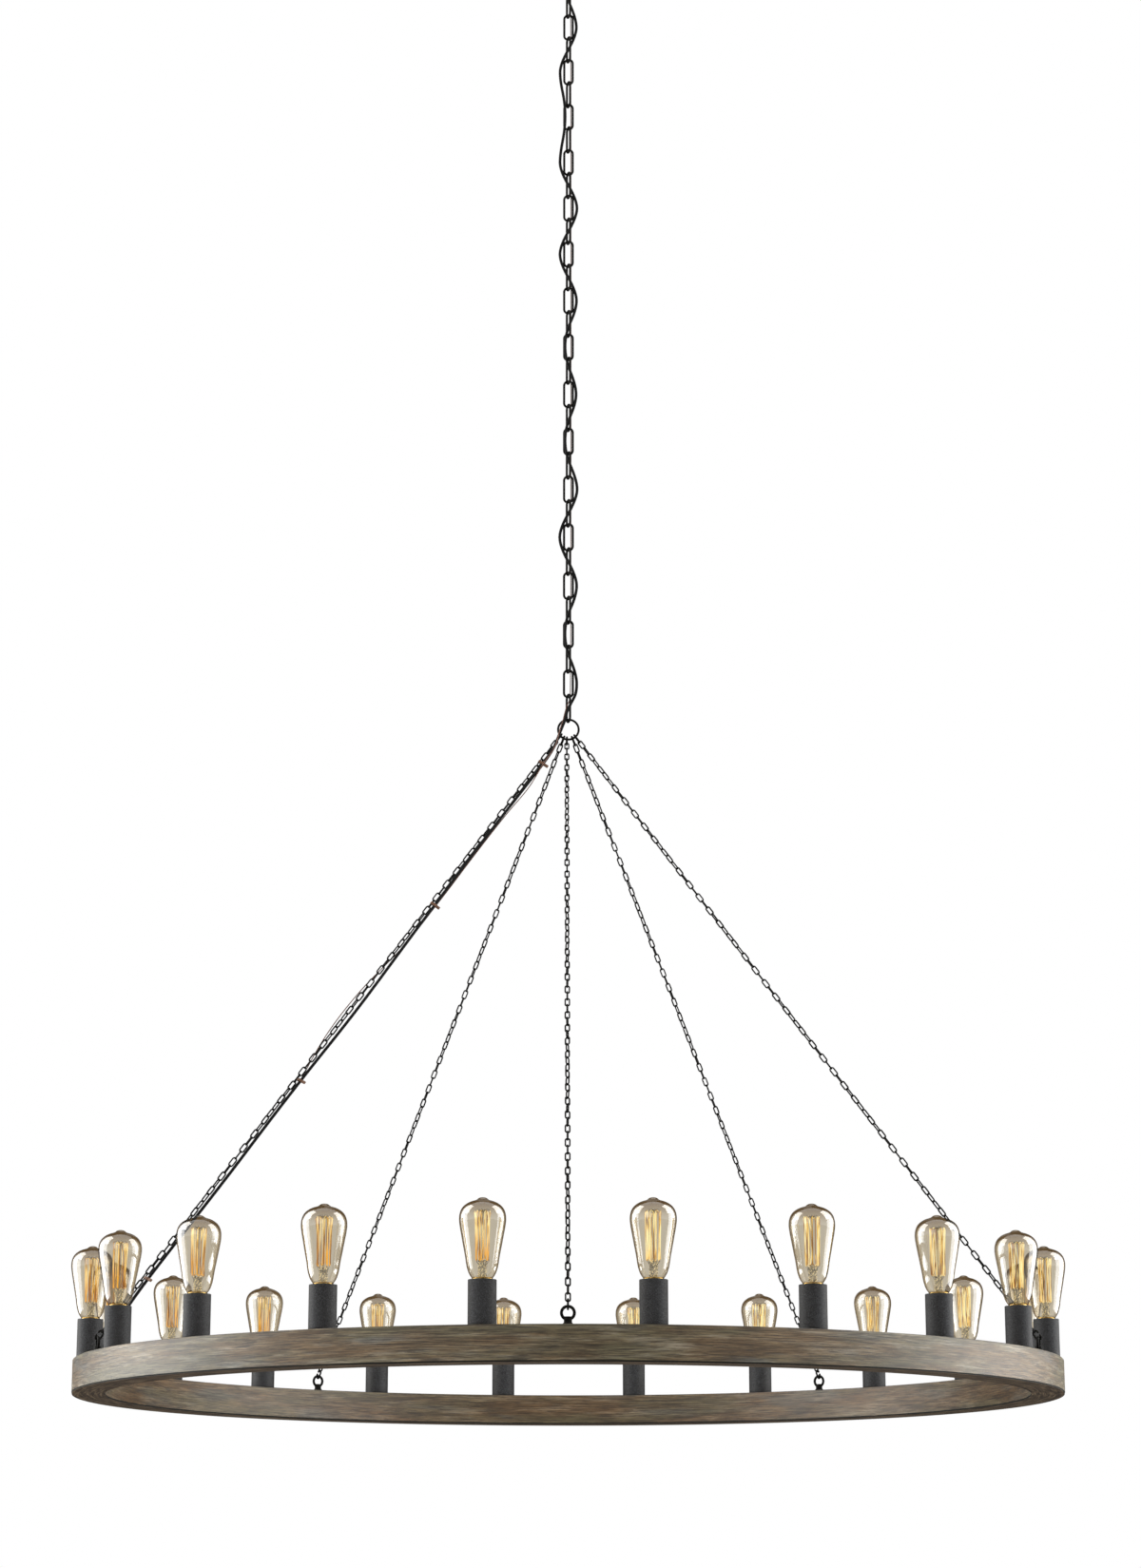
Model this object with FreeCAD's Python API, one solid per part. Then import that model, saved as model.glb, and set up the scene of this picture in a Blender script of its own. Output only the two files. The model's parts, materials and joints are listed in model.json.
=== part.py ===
import FreeCAD, Part

import math
import os

# A wagon-wheel chandelier: a round wood ring that carries twenty lamps and hangs from five thin chains,
# which meet at a small steel ring under one heavier chain and a ceiling canopy.
# Millimetres. The origin is the middle of the canopy's ceiling face, +Z is up, and the ring's front is -Y.
# Angles round the ring are counted from the front, and grow towards +X.

Vector = FreeCAD.Vector
UP = Vector(0, 0, 1)
DOWN = Vector(0, 0, -1)
ACROSS = Vector(1, 0, 0)
BACK = Vector(0, 1, 0)
CENTRE = Vector(0, 0, 0)
FULL_TURN = 360
HALF_TURN = 180
QUARTER_TURN = 90

# Clearances and cuts
link_gap = 0.2          # between two links, or a link and what it hangs on
fit_gap = 0.1           # between pieces that are fixed in each other
moving_gap = 0.4        # between round pieces that move in each other
cut_overrun = 1.0       # how far a cutting shape runs past what it cuts
same_place = 0.001      # how near two heights are to count as one
arc_share = 0.45        # of a cord's shorter run, what an arc takes of it

# Canopy
canopy_radius = 64.0
canopy_depth = 46.0
canopy_wall = 1.2
canopy_edge_radius = 16.0

# Crossbar under the ceiling box
crossbar_width = 18.0
crossbar_thickness = 2.5
crossbar_drop = 16.0
crossbar_foot = 17.0
crossbar_reach = 54.0
slot_spacing = 88.9
slot_radius = 2.4
slot_length = 12.0
ground_screw_radius = 1.6
ground_screw_head_radius = 3.6
ground_screw_head_height = 2.0
ground_screw_length = 7.0
ground_screw_offset = 22.0

# Threaded nipple that carries the fixture
nipple_radius = 4.9
nipple_bore_radius = 3.6
nipple_rise = 5.0
nipple_nut_flats = 14.0
nipple_nut_height = 3.4
nipple_engagement = 12.0

# Loop under the canopy, and the ring nut that holds the canopy up
loop_body_radius = 13.4
loop_body_above_canopy = 16.0
loop_body_below_canopy = 10.0
loop_wire_radius = 2.4
loop_bend_radius = 10.6
loop_leg = 6.0
collar_radius = 19.0
collar_height = 6.0
collar_groove_depth = 0.8
collar_groove_count = 40

# Main chain
main_wire_radius = 1.9
main_pitch = 41.8
main_link_width = 18.3
main_link_count = 32
face_link_turn = -6.0
edge_link_turn = -68.0

# Ring where the five thin chains meet
hub_wire_radius = 1.8
hub_ring_radius = 16.7
connector_wire_radius = 1.5
connector_length = 19.0
connector_width = 10.4
connector_jaw_gap = 0.8

# Thin chains
thin_wire_radius = 0.95
thin_link_length = 17.8
thin_link_width = 8.8

# Wood ring
hub_height = 1047.0      # the middle of the hub ring above the ring's mid height
ring_outer_radius = 762.0
ring_width = 51.0
ring_height = 50.0
ring_wall = 9.0
ring_top_thickness = 12.0
ring_edge_radius = 0.8
cover_thickness = 2.4
cover_inset = 0.6
cover_screw_radius = 1.6
cover_screw_head_radius = 3.6
cover_screw_head_height = 1.8
cover_screw_length = 15.0
cover_screw_count = 10

# Eye bolts on the ring
eye_count = 5
eye_circle_radius = 736.0
eye_wire_radius = 2.1
eye_radius = 8.7
eye_top_height = 27.3
eye_boss_radius = 5.5
eye_boss_height = 11.5
eye_base_height = 4.0
eye_base_radius = 7.8
eye_shank_radius = 3.0
eye_shank_below_nut = 3.0
eye_nut_flats = 10.0
eye_nut_height = 5.0
eye_nut_flange_radius = 7.5
nut_flange_height = 1.5
eye_link_wire_radius = 1.5
eye_link_length = 18.0
eye_link_width = 10.6
eye_link_jaw_gap = 3.2

# Lamp sockets
socket_count = 20
socket_circle_radius = 737.0
washer_radius = 18.6
washer_height = 1.0
cup_radius = 19.5
cup_top_height = 61.5
cup_wall = 1.4
cup_edge_radius = 0.5
holder_gap = 0.9
holder_top_drop = 3.2
holder_thread_depth = 8.0
shell_wall = 0.4
shell_inner_radius = 13.35
contact_radius = 4.0
contact_height = 2.7
contact_well_radius = 7.0
contact_well_depth = 3.4
socket_nipple_below_nut = 3.0
socket_nut_flats = 14.0
socket_nut_height = 4.0
socket_nut_flange_radius = 9.0

# Lamps, measured up from the tip of the base's centre contact
bulb_length = 141.5
bulb_tip_height = 172.5      # above the ring's top
bulb_seat_gap = 0.3
cap_solder_radius = 4.4
cap_solder_height = 1.4
cap_cone_top_radius = 11.2
cap_cone_height = 4.2
cap_thread_radius = 12.95
cap_root_radius = 12.2
cap_thread_pitch = 3.63
cap_thread_count = 5
cap_wall = 0.4
cap_skirt_height = 27.0
neck_radius = 11.3
neck_start = 20.0
neck_top_radius = 13.4
neck_top_height = 31.5
taper_start_radius = 19.3
taper_start_height = 40.5
shoulder_radius = 31.4
shoulder_height = 107.0
shoulder_top_share = 0.98    # of the shoulder's radius, halfway up to the dome
dome_radius = 20.4
dome_height = 134.0
nipple_tip_radius = 6.0
nipple_tip_height = 139.4
glass_wall = 0.9
stem_foot_radius = 10.1
stem_foot_height = 22.0
stem_neck_height = 30.0
stem_radius = 3.6
stem_top_height = 52.0
stem_rod_radius = 0.8
cage_wire_radius = 0.35
cage_ring_wire_radius = 0.5
cage_strands = 10
cage_bottom_height = 62.0
cage_top_height = 120.0
cage_bottom_radius = 8.6
cage_top_radius = 9.6
cage_spoke_rise = 6.0

# Supply cord, ground wire and what holds them
cord_radius = 1.8
ground_radius = 0.65
conductor_radius = 0.9
cord_way_offset = 0.9
ground_way_offset = 2.0
weave_wide = 14.4
weave_middle = 13.6
weave_narrow = 12.8
weave_half_run = 15.0
weave_front_x = 5.6
weave_front_y = 4.6
weave_front_half_run = 22.0
ground_line_x = 4.3
ground_line_y = 3.2
tie_wall = 0.8
tie_gap = 0.15
tie_width = 4.0
tie_tail = 7.0
tie_tail_thickness = 3.0
grommet_radius = 5.2
grommet_bore_radius = 3.2
grommet_flange_radius = 6.6
grommet_flange_height = 1.4
grommet_offset = 17.0
grommet_inset = 3.0
harness_radius = 2.2
harness_junction_radius = 4.5
harness_junction_height = 22.0
socket_lead_radius = 1.4
connector_cap_radius = 5.6
connector_cap_tip_radius = 3.4
connector_cap_length = 17.0
connector_cap_bore_depth = 11.0
connector_place_y = 27.0
connector_top_z = -22.0

# Places worked out from the sizes above
canopy_plate_z = -canopy_depth
loop_body_top_z = canopy_plate_z + loop_body_above_canopy
loop_body_bottom_z = canopy_plate_z - loop_body_below_canopy
loop_bend_z = loop_body_bottom_z - loop_leg
loop_wire_z = loop_bend_z - loop_bend_radius
main_crown_span = main_pitch + main_wire_radius * 2 + link_gap
top_link_z = (loop_wire_z + loop_wire_radius + main_wire_radius + link_gap
              - main_crown_span / 2)
bottom_link_z = top_link_z - main_pitch * (main_link_count - 1)
bottom_crown_z = bottom_link_z - main_crown_span / 2
hub_top_z = bottom_crown_z + main_wire_radius + hub_wire_radius + link_gap
hub_z = hub_top_z - hub_ring_radius
ring_mid_z = hub_z - hub_height
ring_top_z = ring_mid_z + ring_height / 2
ring_bottom_z = ring_mid_z - ring_height / 2
ring_inner_radius = ring_outer_radius - ring_width
cavity_top_z = ring_top_z - ring_top_thickness
cover_top_z = ring_bottom_z + cover_thickness
eye_centre_z = ring_top_z + eye_top_height - eye_wire_radius - eye_radius
eye_wire_top_z = eye_centre_z + eye_radius
cup_bottom_z = ring_top_z + washer_height
cup_top_z = ring_top_z + cup_top_height
holder_bottom_z = cup_bottom_z + cup_wall
holder_top_z = cup_top_z - holder_top_drop
bulb_base_z = ring_top_z + bulb_tip_height - bulb_length
contact_top_z = bulb_base_z - bulb_seat_gap
contact_bottom_z = contact_top_z - contact_height
shell_bottom_z = contact_bottom_z + contact_well_depth
nipple_top_z = -crossbar_drop + nipple_rise
nipple_bottom_z = loop_body_top_z - nipple_engagement
harness_z = cover_top_z + harness_radius + fit_gap
junction_top_z = cover_top_z + harness_junction_height


def ring_point(radius, angle, z):
    """A point at a radius and an angle from the front, in degrees."""
    turn = math.radians(angle)
    return Vector(radius * math.sin(turn), -radius * math.cos(turn), z)


def tangent(angle):
    """The direction round the ring at an angle from the front."""
    turn = math.radians(angle)
    return Vector(math.cos(turn), math.sin(turn), 0)


def unit(vector):
    return vector / vector.Length


def put(shape, origin, x_axis, z_axis):
    """A copy of a shape with its own X and Z laid along two square directions, and its origin moved."""
    x = unit(x_axis)
    z = unit(z_axis)
    y = z.cross(x)
    rows = FreeCAD.Matrix(x.x, y.x, z.x, origin.x,
                          x.y, y.y, z.y, origin.y,
                          x.z, y.z, z.z, origin.z,
                          0, 0, 0, 1)
    moved = shape.copy()
    moved.Placement = FreeCAD.Placement(rows)
    return moved


def raised(shape, origin):
    return put(shape, origin, ACROSS, UP)


def spread(shape, origins):
    return [raised(shape, origin) for origin in origins]


def lathe(points):
    """A solid turned about Z from the (radius, height) corners of its half section."""
    corners = [Vector(radius, 0, height) for radius, height in points]
    face = Part.Face(Part.makePolygon(corners + corners[:1]))
    return face.revolve(CENTRE, UP, FULL_TURN)


def rod(radius, start, end):
    direction = end - start
    return Part.makeCylinder(radius, direction.Length, start, direction)


def tube(outer_radius, inner_radius, bottom, top):
    outside = rod(outer_radius, Vector(0, 0, bottom), Vector(0, 0, top))
    inside = rod(inner_radius, Vector(0, 0, bottom - cut_overrun), Vector(0, 0, top + cut_overrun))
    return outside.cut(inside)


def hexagon(flats, bottom, height):
    """A hexagonal prism about Z, by its width across flats."""
    sides = 6
    step = FULL_TURN / sides
    corner = flats / 2 / math.cos(math.radians(step / 2))
    points = [ring_point(corner, step * side, bottom) for side in range(sides + 1)]
    return Part.Face(Part.makePolygon(points)).extrude(Vector(0, 0, height))


def bend(radius, wire_radius, centre, start, axis, angle):
    """Round wire bent about an axis, from a start point."""
    along = axis.cross(start - centre)
    section = Part.Face(Part.Wire(Part.makeCircle(wire_radius, start, along)))
    return section.revolve(centre, axis, angle)


def joined(pieces):
    return pieces[0].multiFuse(pieces[1:]).removeSplitter()


def link(crown_span, width, wire_radius, jaw_gap=0.0):
    """A link in the XZ plane, long side along Z. With a jaw gap one leg is open at its middle."""
    radius = width / 2 - wire_radius
    half = crown_span / 2 - radius
    top = Vector(0, 0, half)
    bottom = Vector(0, 0, -half)
    right = Vector(radius, 0, 0)
    pieces = [
        bend(radius, wire_radius, top, top + right, Vector(0, -1, 0), HALF_TURN),
        bend(radius, wire_radius, bottom, bottom - right, Vector(0, -1, 0), HALF_TURN),
        rod(wire_radius, bottom - right, top - right),
    ]
    if jaw_gap == 0:
        pieces.append(rod(wire_radius, bottom + right, top + right))
    else:
        lower = Vector(radius, 0, -jaw_gap / 2)
        upper = Vector(radius, 0, jaw_gap / 2)
        pieces.append(rod(wire_radius, bottom + right, lower))
        pieces.append(rod(wire_radius, upper, top + right))
    return joined(pieces)


def route(points, name):
    """A wire through a route: straight runs joined by tangent arcs, each as large as its two runs allow."""
    edges = []
    reached = points[0]
    smallest = None
    for before, corner, after in zip(points, points[1:], points[2:]):
        incoming = corner - before
        outgoing = after - corner
        half_turn = incoming.getAngle(outgoing) / 2
        setback = min(incoming.Length, outgoing.Length) * arc_share
        radius = setback / math.tan(half_turn)
        smallest = radius if smallest is None else min(smallest, radius)
        first = corner - unit(incoming) * setback
        last = corner + unit(outgoing) * setback
        inward = unit(unit(outgoing) - unit(incoming))
        middle = corner + inward * (radius / math.cos(half_turn) - radius)
        edges.append(Part.LineSegment(reached, first).toShape())
        edges.append(Part.Arc(first, middle, last).toShape())
        reached = last
    edges.append(Part.LineSegment(reached, points[-1]).toShape())
    length = sum(edge.Length for edge in edges)
    print(name, "length", round(length, 1), "smallest radius", round(smallest, 1))
    return Part.Wire(edges), length


def cable(points, radius, name):
    """A round cable along a route."""
    path, length = route(points, name)
    along = points[1] - points[0]
    section = Part.Wire(Part.makeCircle(radius, points[0], along))
    solid = path.makePipeShell([section], True, False)
    if not solid.isValid() or solid.Volume <= 0:
        solid = Part.makeSolid(Part.makeShell(solid.Faces))
    print(name, "volume against section times length",
          round(solid.Volume / (math.pi * radius * radius * length), 4))
    return solid


def export(shapes, name):
    solids = [solid for shape in shapes for solid in shape.Solids]
    shape = solids[0] if len(solids) == 1 else Part.makeCompound(solids)
    shape.exportStep("parts/" + name + ".step")
    volume = sum(solid.Volume for solid in solids)
    print(name, len(solids), round(volume), all(solid.isValid() for solid in solids))


# Ceiling parts

def canopy():
    """A spun steel cup, open towards the ceiling, with a hole for the loop's body."""
    outside = rod(canopy_radius, Vector(0, 0, -canopy_depth), CENTRE)
    outside = outside.makeFillet(canopy_edge_radius, [circle_edge(outside, -canopy_depth)])
    inner_depth = canopy_depth - canopy_wall
    inner = rod(canopy_radius - canopy_wall, Vector(0, 0, -inner_depth), Vector(0, 0, cut_overrun))
    inner_edge = canopy_edge_radius - canopy_wall
    inner = inner.makeFillet(inner_edge, [circle_edge(inner, -inner_depth)])
    hole_radius = loop_body_radius + moving_gap
    hole = rod(hole_radius, Vector(0, 0, -canopy_depth - cut_overrun),
               Vector(0, 0, cut_overrun - inner_depth))
    return outside.cut(inner).cut(hole)


def circle_edge(shape, z):
    """The round edge of a shape that lies at a height."""
    def far(edge):
        box = edge.BoundBox
        return max(abs(box.ZMin - z), abs(box.ZMax - z))

    return [edge for edge in shape.Edges if edge.Closed and far(edge) < same_place][0]


def collar_ring():
    """The ring nut under the canopy, with grip grooves round its rim."""
    bottom = canopy_plate_z - collar_height
    inner_radius = loop_body_radius + moving_gap
    ring = tube(collar_radius, inner_radius, bottom, canopy_plate_z)
    start = Vector(0, 0, bottom - cut_overrun)
    end = Vector(0, 0, canopy_plate_z + cut_overrun)
    groove = rod(collar_groove_depth, start, end)
    step = FULL_TURN / collar_groove_count
    grooves = spread(groove, [ring_point(collar_radius, step * n, 0) for n in range(collar_groove_count)])
    return ring.cut(Part.makeCompound(grooves))


def slot(centre_x, bottom, top):
    """A cutting shape for a slot along X."""
    half = slot_length / 2 - slot_radius
    ends = [rod(slot_radius, Vector(x, 0, bottom), Vector(x, 0, top))
            for x in (centre_x - half, centre_x + half)]
    middle = Part.makeBox(half * 2, slot_radius * 2, top - bottom,
                          Vector(centre_x - half, -slot_radius, bottom))
    return joined(ends + [middle])


def crossbar():
    """A strap whose two feet lie on the ceiling and whose middle is dropped."""
    inner = crossbar_reach - crossbar_foot
    drop = -crossbar_drop
    thick = crossbar_thickness
    half = [(crossbar_reach, 0), (crossbar_reach, -thick), (inner, -thick), (inner, drop - thick)]
    upper = [(inner - thick, drop), (inner - thick, 0)]
    right = [Vector(x, 0, z) for x, z in half]
    left = [Vector(-x, 0, z) for x, z in reversed(half)]
    left_top = [Vector(-x, 0, z) for x, z in reversed(upper)]
    right_top = [Vector(x, 0, z) for x, z in upper]
    outline = right + left + left_top + right_top
    strap = Part.Face(Part.makePolygon(outline + outline[:1]))
    strap = strap.extrude(Vector(0, crossbar_width, 0))
    strap.translate(Vector(0, -crossbar_width / 2, 0))
    cut_bottom = drop - thick - cut_overrun
    holes = [
        slot(slot_spacing / 2, -thick - cut_overrun, cut_overrun),
        slot(-slot_spacing / 2, -thick - cut_overrun, cut_overrun),
        rod(nipple_radius + fit_gap, Vector(0, 0, cut_bottom), Vector(0, 0, drop + cut_overrun)),
        rod(ground_screw_radius + fit_gap, Vector(ground_screw_offset, 0, cut_bottom),
            Vector(ground_screw_offset, 0, drop + cut_overrun)),
    ]
    return strap.cut(Part.makeCompound(holes))


def ground_screw():
    """A small pan-head screw, put in from below."""
    seat = -crossbar_drop - crossbar_thickness
    x = ground_screw_offset
    head = rod(ground_screw_head_radius, Vector(x, 0, seat - ground_screw_head_height), Vector(x, 0, seat))
    shank = rod(ground_screw_radius, Vector(x, 0, seat), Vector(x, 0, seat + ground_screw_length))
    return joined([head, shank])


def nipple_nuts():
    """Jam nuts above and below the crossbar."""
    nuts = []
    for bottom in (-crossbar_drop, -crossbar_drop - crossbar_thickness - nipple_nut_height):
        nut = hexagon(nipple_nut_flats, bottom, nipple_nut_height)
        hole = rod(nipple_radius + fit_gap, Vector(0, 0, bottom - cut_overrun),
                   Vector(0, 0, bottom + nipple_nut_height + cut_overrun))
        nuts.append(nut.cut(hole))
    return nuts


def canopy_loop():
    """The threaded body that the nipple screws into, with a wire bail under it for the chain."""
    body = rod(loop_body_radius, Vector(0, 0, loop_body_bottom_z), Vector(0, 0, loop_body_top_z))
    side = Vector(0, loop_bend_radius, 0)
    bend_centre = Vector(0, 0, loop_bend_z)
    leg_top = Vector(0, 0, loop_body_bottom_z)
    bail = [
        bend(loop_bend_radius, loop_wire_radius, bend_centre, bend_centre + side,
             Vector(-1, 0, 0), HALF_TURN),
        rod(loop_wire_radius, bend_centre + side, leg_top + side),
        rod(loop_wire_radius, bend_centre - side, leg_top - side),
    ]
    thread = rod(nipple_radius + fit_gap, Vector(0, 0, nipple_bottom_z),
                 Vector(0, 0, loop_body_top_z + cut_overrun))
    wire_way = rod(nipple_bore_radius, Vector(0, 0, loop_body_bottom_z - cut_overrun),
                   Vector(0, 0, loop_body_top_z))
    return joined([body] + bail).cut(thread).cut(wire_way)


# Main chain and hub ring

def main_links():
    """Every link of the main chain from the top, turned by turns as the real chain lies."""
    shape = link(main_crown_span, main_link_width, main_wire_radius)
    links = []
    for number in range(main_link_count):
        angle = face_link_turn if number % 2 == 0 else edge_link_turn
        across = tangent(angle)
        place = Vector(0, 0, top_link_z - main_pitch * number)
        links.append(put(shape, place, across, UP))
    return links


def hub_ring():
    return put(Part.makeTorus(hub_ring_radius, hub_wire_radius), Vector(0, 0, hub_z), ACROSS, BACK)


# Thin chains

eye_step = FULL_TURN / eye_count

chain_places = [
    # name, number of its eye bolt from the front, angle of its hook on the hub ring, half turns of twist
    ("left", -1, -50.0, 3),
    ("back_left", -2, -28.0, 3),
    ("front", 0, -9.0, 2),
    ("back_right", 2, 24.0, -3),
    ("right", 1, 43.0, -4),
]


def hub_wire_point(hook_angle):
    """The middle of the hub ring's wire at an angle from its lowest point, in the ring's plane."""
    turn = math.radians(hook_angle)
    return Vector(math.sin(turn) * hub_ring_radius, 0, hub_z - math.cos(turn) * hub_ring_radius)


def hub_wire_direction(hook_angle):
    turn = math.radians(hook_angle)
    return Vector(math.cos(turn), 0, math.sin(turn))


def square_to(direction, along):
    """A direction with its share along another one taken out."""
    return unit(direction - along * direction.dot(along))


def turned(direction, axis, angle):
    """A direction turned about an axis it is square to."""
    turn = math.radians(angle)
    return direction * math.cos(turn) + axis.cross(direction) * math.sin(turn)


def thin_chain(eye_angle, hook_angle, half_turns):
    """The hook link on the hub ring, the thin links, and the open link on the eye bolt."""
    start = hub_wire_point(hook_angle)
    end = ring_point(eye_circle_radius, eye_angle, eye_wire_top_z)
    along = unit(end - start)
    reach = (end - start).Length

    hook_normal = square_to(hub_wire_direction(hook_angle), along)
    hook_across = along.cross(hook_normal)
    hook_span = connector_length - connector_wire_radius * 2
    hook_first = -(hub_wire_radius + connector_wire_radius + link_gap)
    hook_last = hook_first + hook_span

    eye_normal = square_to(tangent(eye_angle), along)
    eye_across = along.cross(eye_normal)
    eye_span = eye_link_length - eye_link_wire_radius * 2
    eye_last = reach + eye_wire_radius + eye_link_wire_radius + link_gap
    eye_first = eye_last - eye_span

    thin_span = thin_link_length - thin_wire_radius * 2
    first = hook_last - connector_wire_radius - thin_wire_radius - link_gap
    last = eye_first + eye_link_wire_radius + thin_wire_radius + link_gap
    steps = math.floor((last - first - thin_span) / (thin_span - thin_wire_radius * 2 - link_gap))
    pitch = (last - first - thin_span) / steps
    count = steps + 1

    swing = math.degrees(math.atan2(hook_across.cross(eye_across).dot(along), hook_across.dot(eye_across)))
    quarter_turns = (count + 1) * QUARTER_TURN
    excess = (swing - quarter_turns) % HALF_TURN + half_turns * HALF_TURN
    step_turn = QUARTER_TURN + excess / (count + 1)

    hook = link(hook_span, connector_width, connector_wire_radius, connector_jaw_gap)
    hook = put(hook, start + along * (hook_first + hook_span / 2), hook_across, along)
    eye = link(eye_span, eye_link_width, eye_link_wire_radius, eye_link_jaw_gap)
    eye = put(eye, start + along * (eye_first + eye_span / 2), eye_across, along)
    shape = link(thin_span, thin_link_width, thin_wire_radius)
    thin = []
    for number in range(count):
        middle = start + along * (first + thin_span / 2 + pitch * number)
        across = turned(hook_across, along, step_turn * (number + 1))
        thin.append(put(shape, middle, across, along))
    print("chain at", eye_angle, "links", count, "pitch", round(pitch, 3), "turn", round(step_turn, 2))
    places = [(first + thin_span / 2 + pitch * number,
               turned(hook_across, along, step_turn * (number + 1))) for number in range(count)]
    return hook, thin, eye, places


# Eye bolts

def eye_places():
    return [eye_step * n for n in range(eye_count)]


def eye_bolt():
    """An eye on a round boss, with the shank that goes down through the ring's top."""
    centre = eye_centre_z - ring_top_z
    eye = put(Part.makeTorus(eye_radius, eye_wire_radius), Vector(0, 0, centre), ACROSS, BACK)
    boss = rod(eye_boss_radius, Vector(0, 0, eye_base_height), Vector(0, 0, eye_boss_height))
    shank_end = -ring_top_thickness - nut_flange_height - eye_nut_height - eye_shank_below_nut
    shank = rod(eye_shank_radius, Vector(0, 0, shank_end), Vector(0, 0, eye_base_height))
    return joined([eye, boss, shank])


def eye_base():
    """The flared foot under an eye's boss."""
    bore = eye_shank_radius + fit_gap
    return lathe([(bore, 0), (eye_base_radius, 0), (eye_base_radius, eye_base_height / 4),
                  (eye_boss_radius, eye_base_height), (bore, eye_base_height)])


def flange_nut(flats, height, flange_radius, bore_radius):
    """A flanged hexagon nut that hangs under the plane Z = 0."""
    flange = rod(flange_radius, Vector(0, 0, -nut_flange_height), CENTRE)
    body = hexagon(flats, -nut_flange_height - height, height)
    bore = rod(bore_radius, Vector(0, 0, -nut_flange_height - height - cut_overrun),
               Vector(0, 0, cut_overrun))
    return joined([flange, body]).cut(bore)


def faced_to_ring(shape, radius, angle, z):
    """A shape whose own Y points outwards at an angle of the ring."""
    return put(shape, ring_point(radius, angle, z), tangent(angle), UP)


# Wood ring

grommet_angle = -eye_step + math.degrees(grommet_offset / eye_circle_radius)
grommet_circle_radius = eye_circle_radius - grommet_inset


def socket_angles():
    step = FULL_TURN / socket_count
    return [step * (n + 0.5) for n in range(socket_count)]


def ring_band(face, back):
    """One bent wall of the channel, from its visible face to its back, with its outer top corner eased."""
    inwards = 1 if back > face else -1
    return lathe([(face, cover_top_z), (face, ring_top_z - ring_edge_radius),
                  (face + ring_edge_radius * inwards, ring_top_z), (back, ring_top_z), (back, cover_top_z)])


def ring_body():
    """A channel of bent wood, open below: two bands, and a board between them that the lamps stand on."""
    outer_back = ring_outer_radius - ring_wall
    inner_back = ring_inner_radius + ring_wall
    board = tube(outer_back - fit_gap, inner_back + fit_gap, cavity_top_z, ring_top_z)
    drills = Part.makeCompound(ring_drills())
    return [wood.cut(drills) for wood in (ring_band(ring_outer_radius, outer_back),
                                          ring_band(ring_inner_radius, inner_back), board)]


def ring_drills():
    """Cutting shapes for the lamps, the eye bolts, the cord and the cover's screws."""
    drills = []
    sizes = [(socket_angles(), socket_circle_radius, nipple_radius + fit_gap),
             (eye_places(), eye_circle_radius, eye_shank_radius + fit_gap),
             ([grommet_angle], grommet_circle_radius, grommet_radius + fit_gap)]
    for angles, circle, radius in sizes:
        for angle in angles:
            bottom = ring_point(circle, angle, cavity_top_z - cut_overrun)
            top = ring_point(circle, angle, ring_top_z + cut_overrun)
            drills.append(rod(radius, bottom, top))
    for place in cover_screw_places():
        bottom = place + Vector(0, 0, cover_thickness - cut_overrun)
        top = place + Vector(0, 0, cover_screw_length + cut_overrun)
        drills.append(rod(cover_screw_radius + fit_gap, bottom, top))
    return drills


def cover_screw_places():
    """Under the middle of each wall, by turns outside and inside."""
    places = []
    step = FULL_TURN / cover_screw_count
    for number in range(cover_screw_count):
        outside = ring_outer_radius - ring_wall / 2
        inside = ring_inner_radius + ring_wall / 2
        places.append(ring_point(outside, step * number, ring_bottom_z))
        places.append(ring_point(inside, step * (number + 0.5), ring_bottom_z))
    return places


def cover_screw(extra=0.0):
    """A countersunk screw whose head is flush with Z = 0. The extra size makes its cutting shape."""
    head = cover_screw_head_radius + extra
    shank = cover_screw_radius + extra
    return lathe([(0, 0), (head, 0), (shank, cover_screw_head_height),
                  (shank, cover_screw_length), (0, cover_screw_length)])


def ring_cover():
    """The flat plate that closes the channel from below."""
    plate = tube(ring_outer_radius - cover_inset, ring_inner_radius + cover_inset,
                 ring_bottom_z, cover_top_z)
    return plate.cut(Part.makeCompound(spread(cover_screw(fit_gap), cover_screw_places())))


# Lamp sockets

def socket_cup():
    """A straight cup that hides the lamp holder."""
    top = cup_top_height
    bottom = washer_height
    bore = nipple_radius + fit_gap
    edge = cup_edge_radius
    inner = cup_radius - cup_wall
    return lathe([(bore, bottom), (cup_radius, bottom), (cup_radius, top - edge), (cup_radius - edge, top),
                  (inner, top), (inner, bottom + cup_wall), (bore, bottom + cup_wall)])


def socket_washer():
    return tube(washer_radius, nipple_radius + fit_gap, 0, washer_height)


def lamp_holder():
    """The insulating body: a threaded foot, a well for the contact and a bore for the screw shell."""
    low = holder_bottom_z - ring_top_z
    high = holder_top_z - ring_top_z
    floor = contact_bottom_z - ring_top_z
    step = shell_bottom_z - ring_top_z
    outer = cup_radius - cup_wall - holder_gap
    thread = nipple_radius + fit_gap
    bore = shell_inner_radius + shell_wall + fit_gap
    return lathe([(thread, low), (outer, low), (outer, high), (bore, high), (bore, step),
                  (contact_well_radius, step), (contact_well_radius, floor),
                  (socket_lead_radius + fit_gap, floor),
                  (socket_lead_radius + fit_gap, low + holder_thread_depth),
                  (thread, low + holder_thread_depth)])


def screw_shell():
    low = shell_bottom_z - ring_top_z
    high = holder_top_z - ring_top_z
    return tube(shell_inner_radius + shell_wall, shell_inner_radius, low, high)


def centre_contact():
    """A brass disc with a raised button."""
    low = contact_bottom_z - ring_top_z
    high = contact_top_z - ring_top_z
    disc = low + contact_height / 3
    rim = contact_well_radius - fit_gap
    return lathe([(0, low), (rim, low), (rim, disc), (contact_radius, disc),
                  (contact_radius, high), (0, high)])


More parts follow.
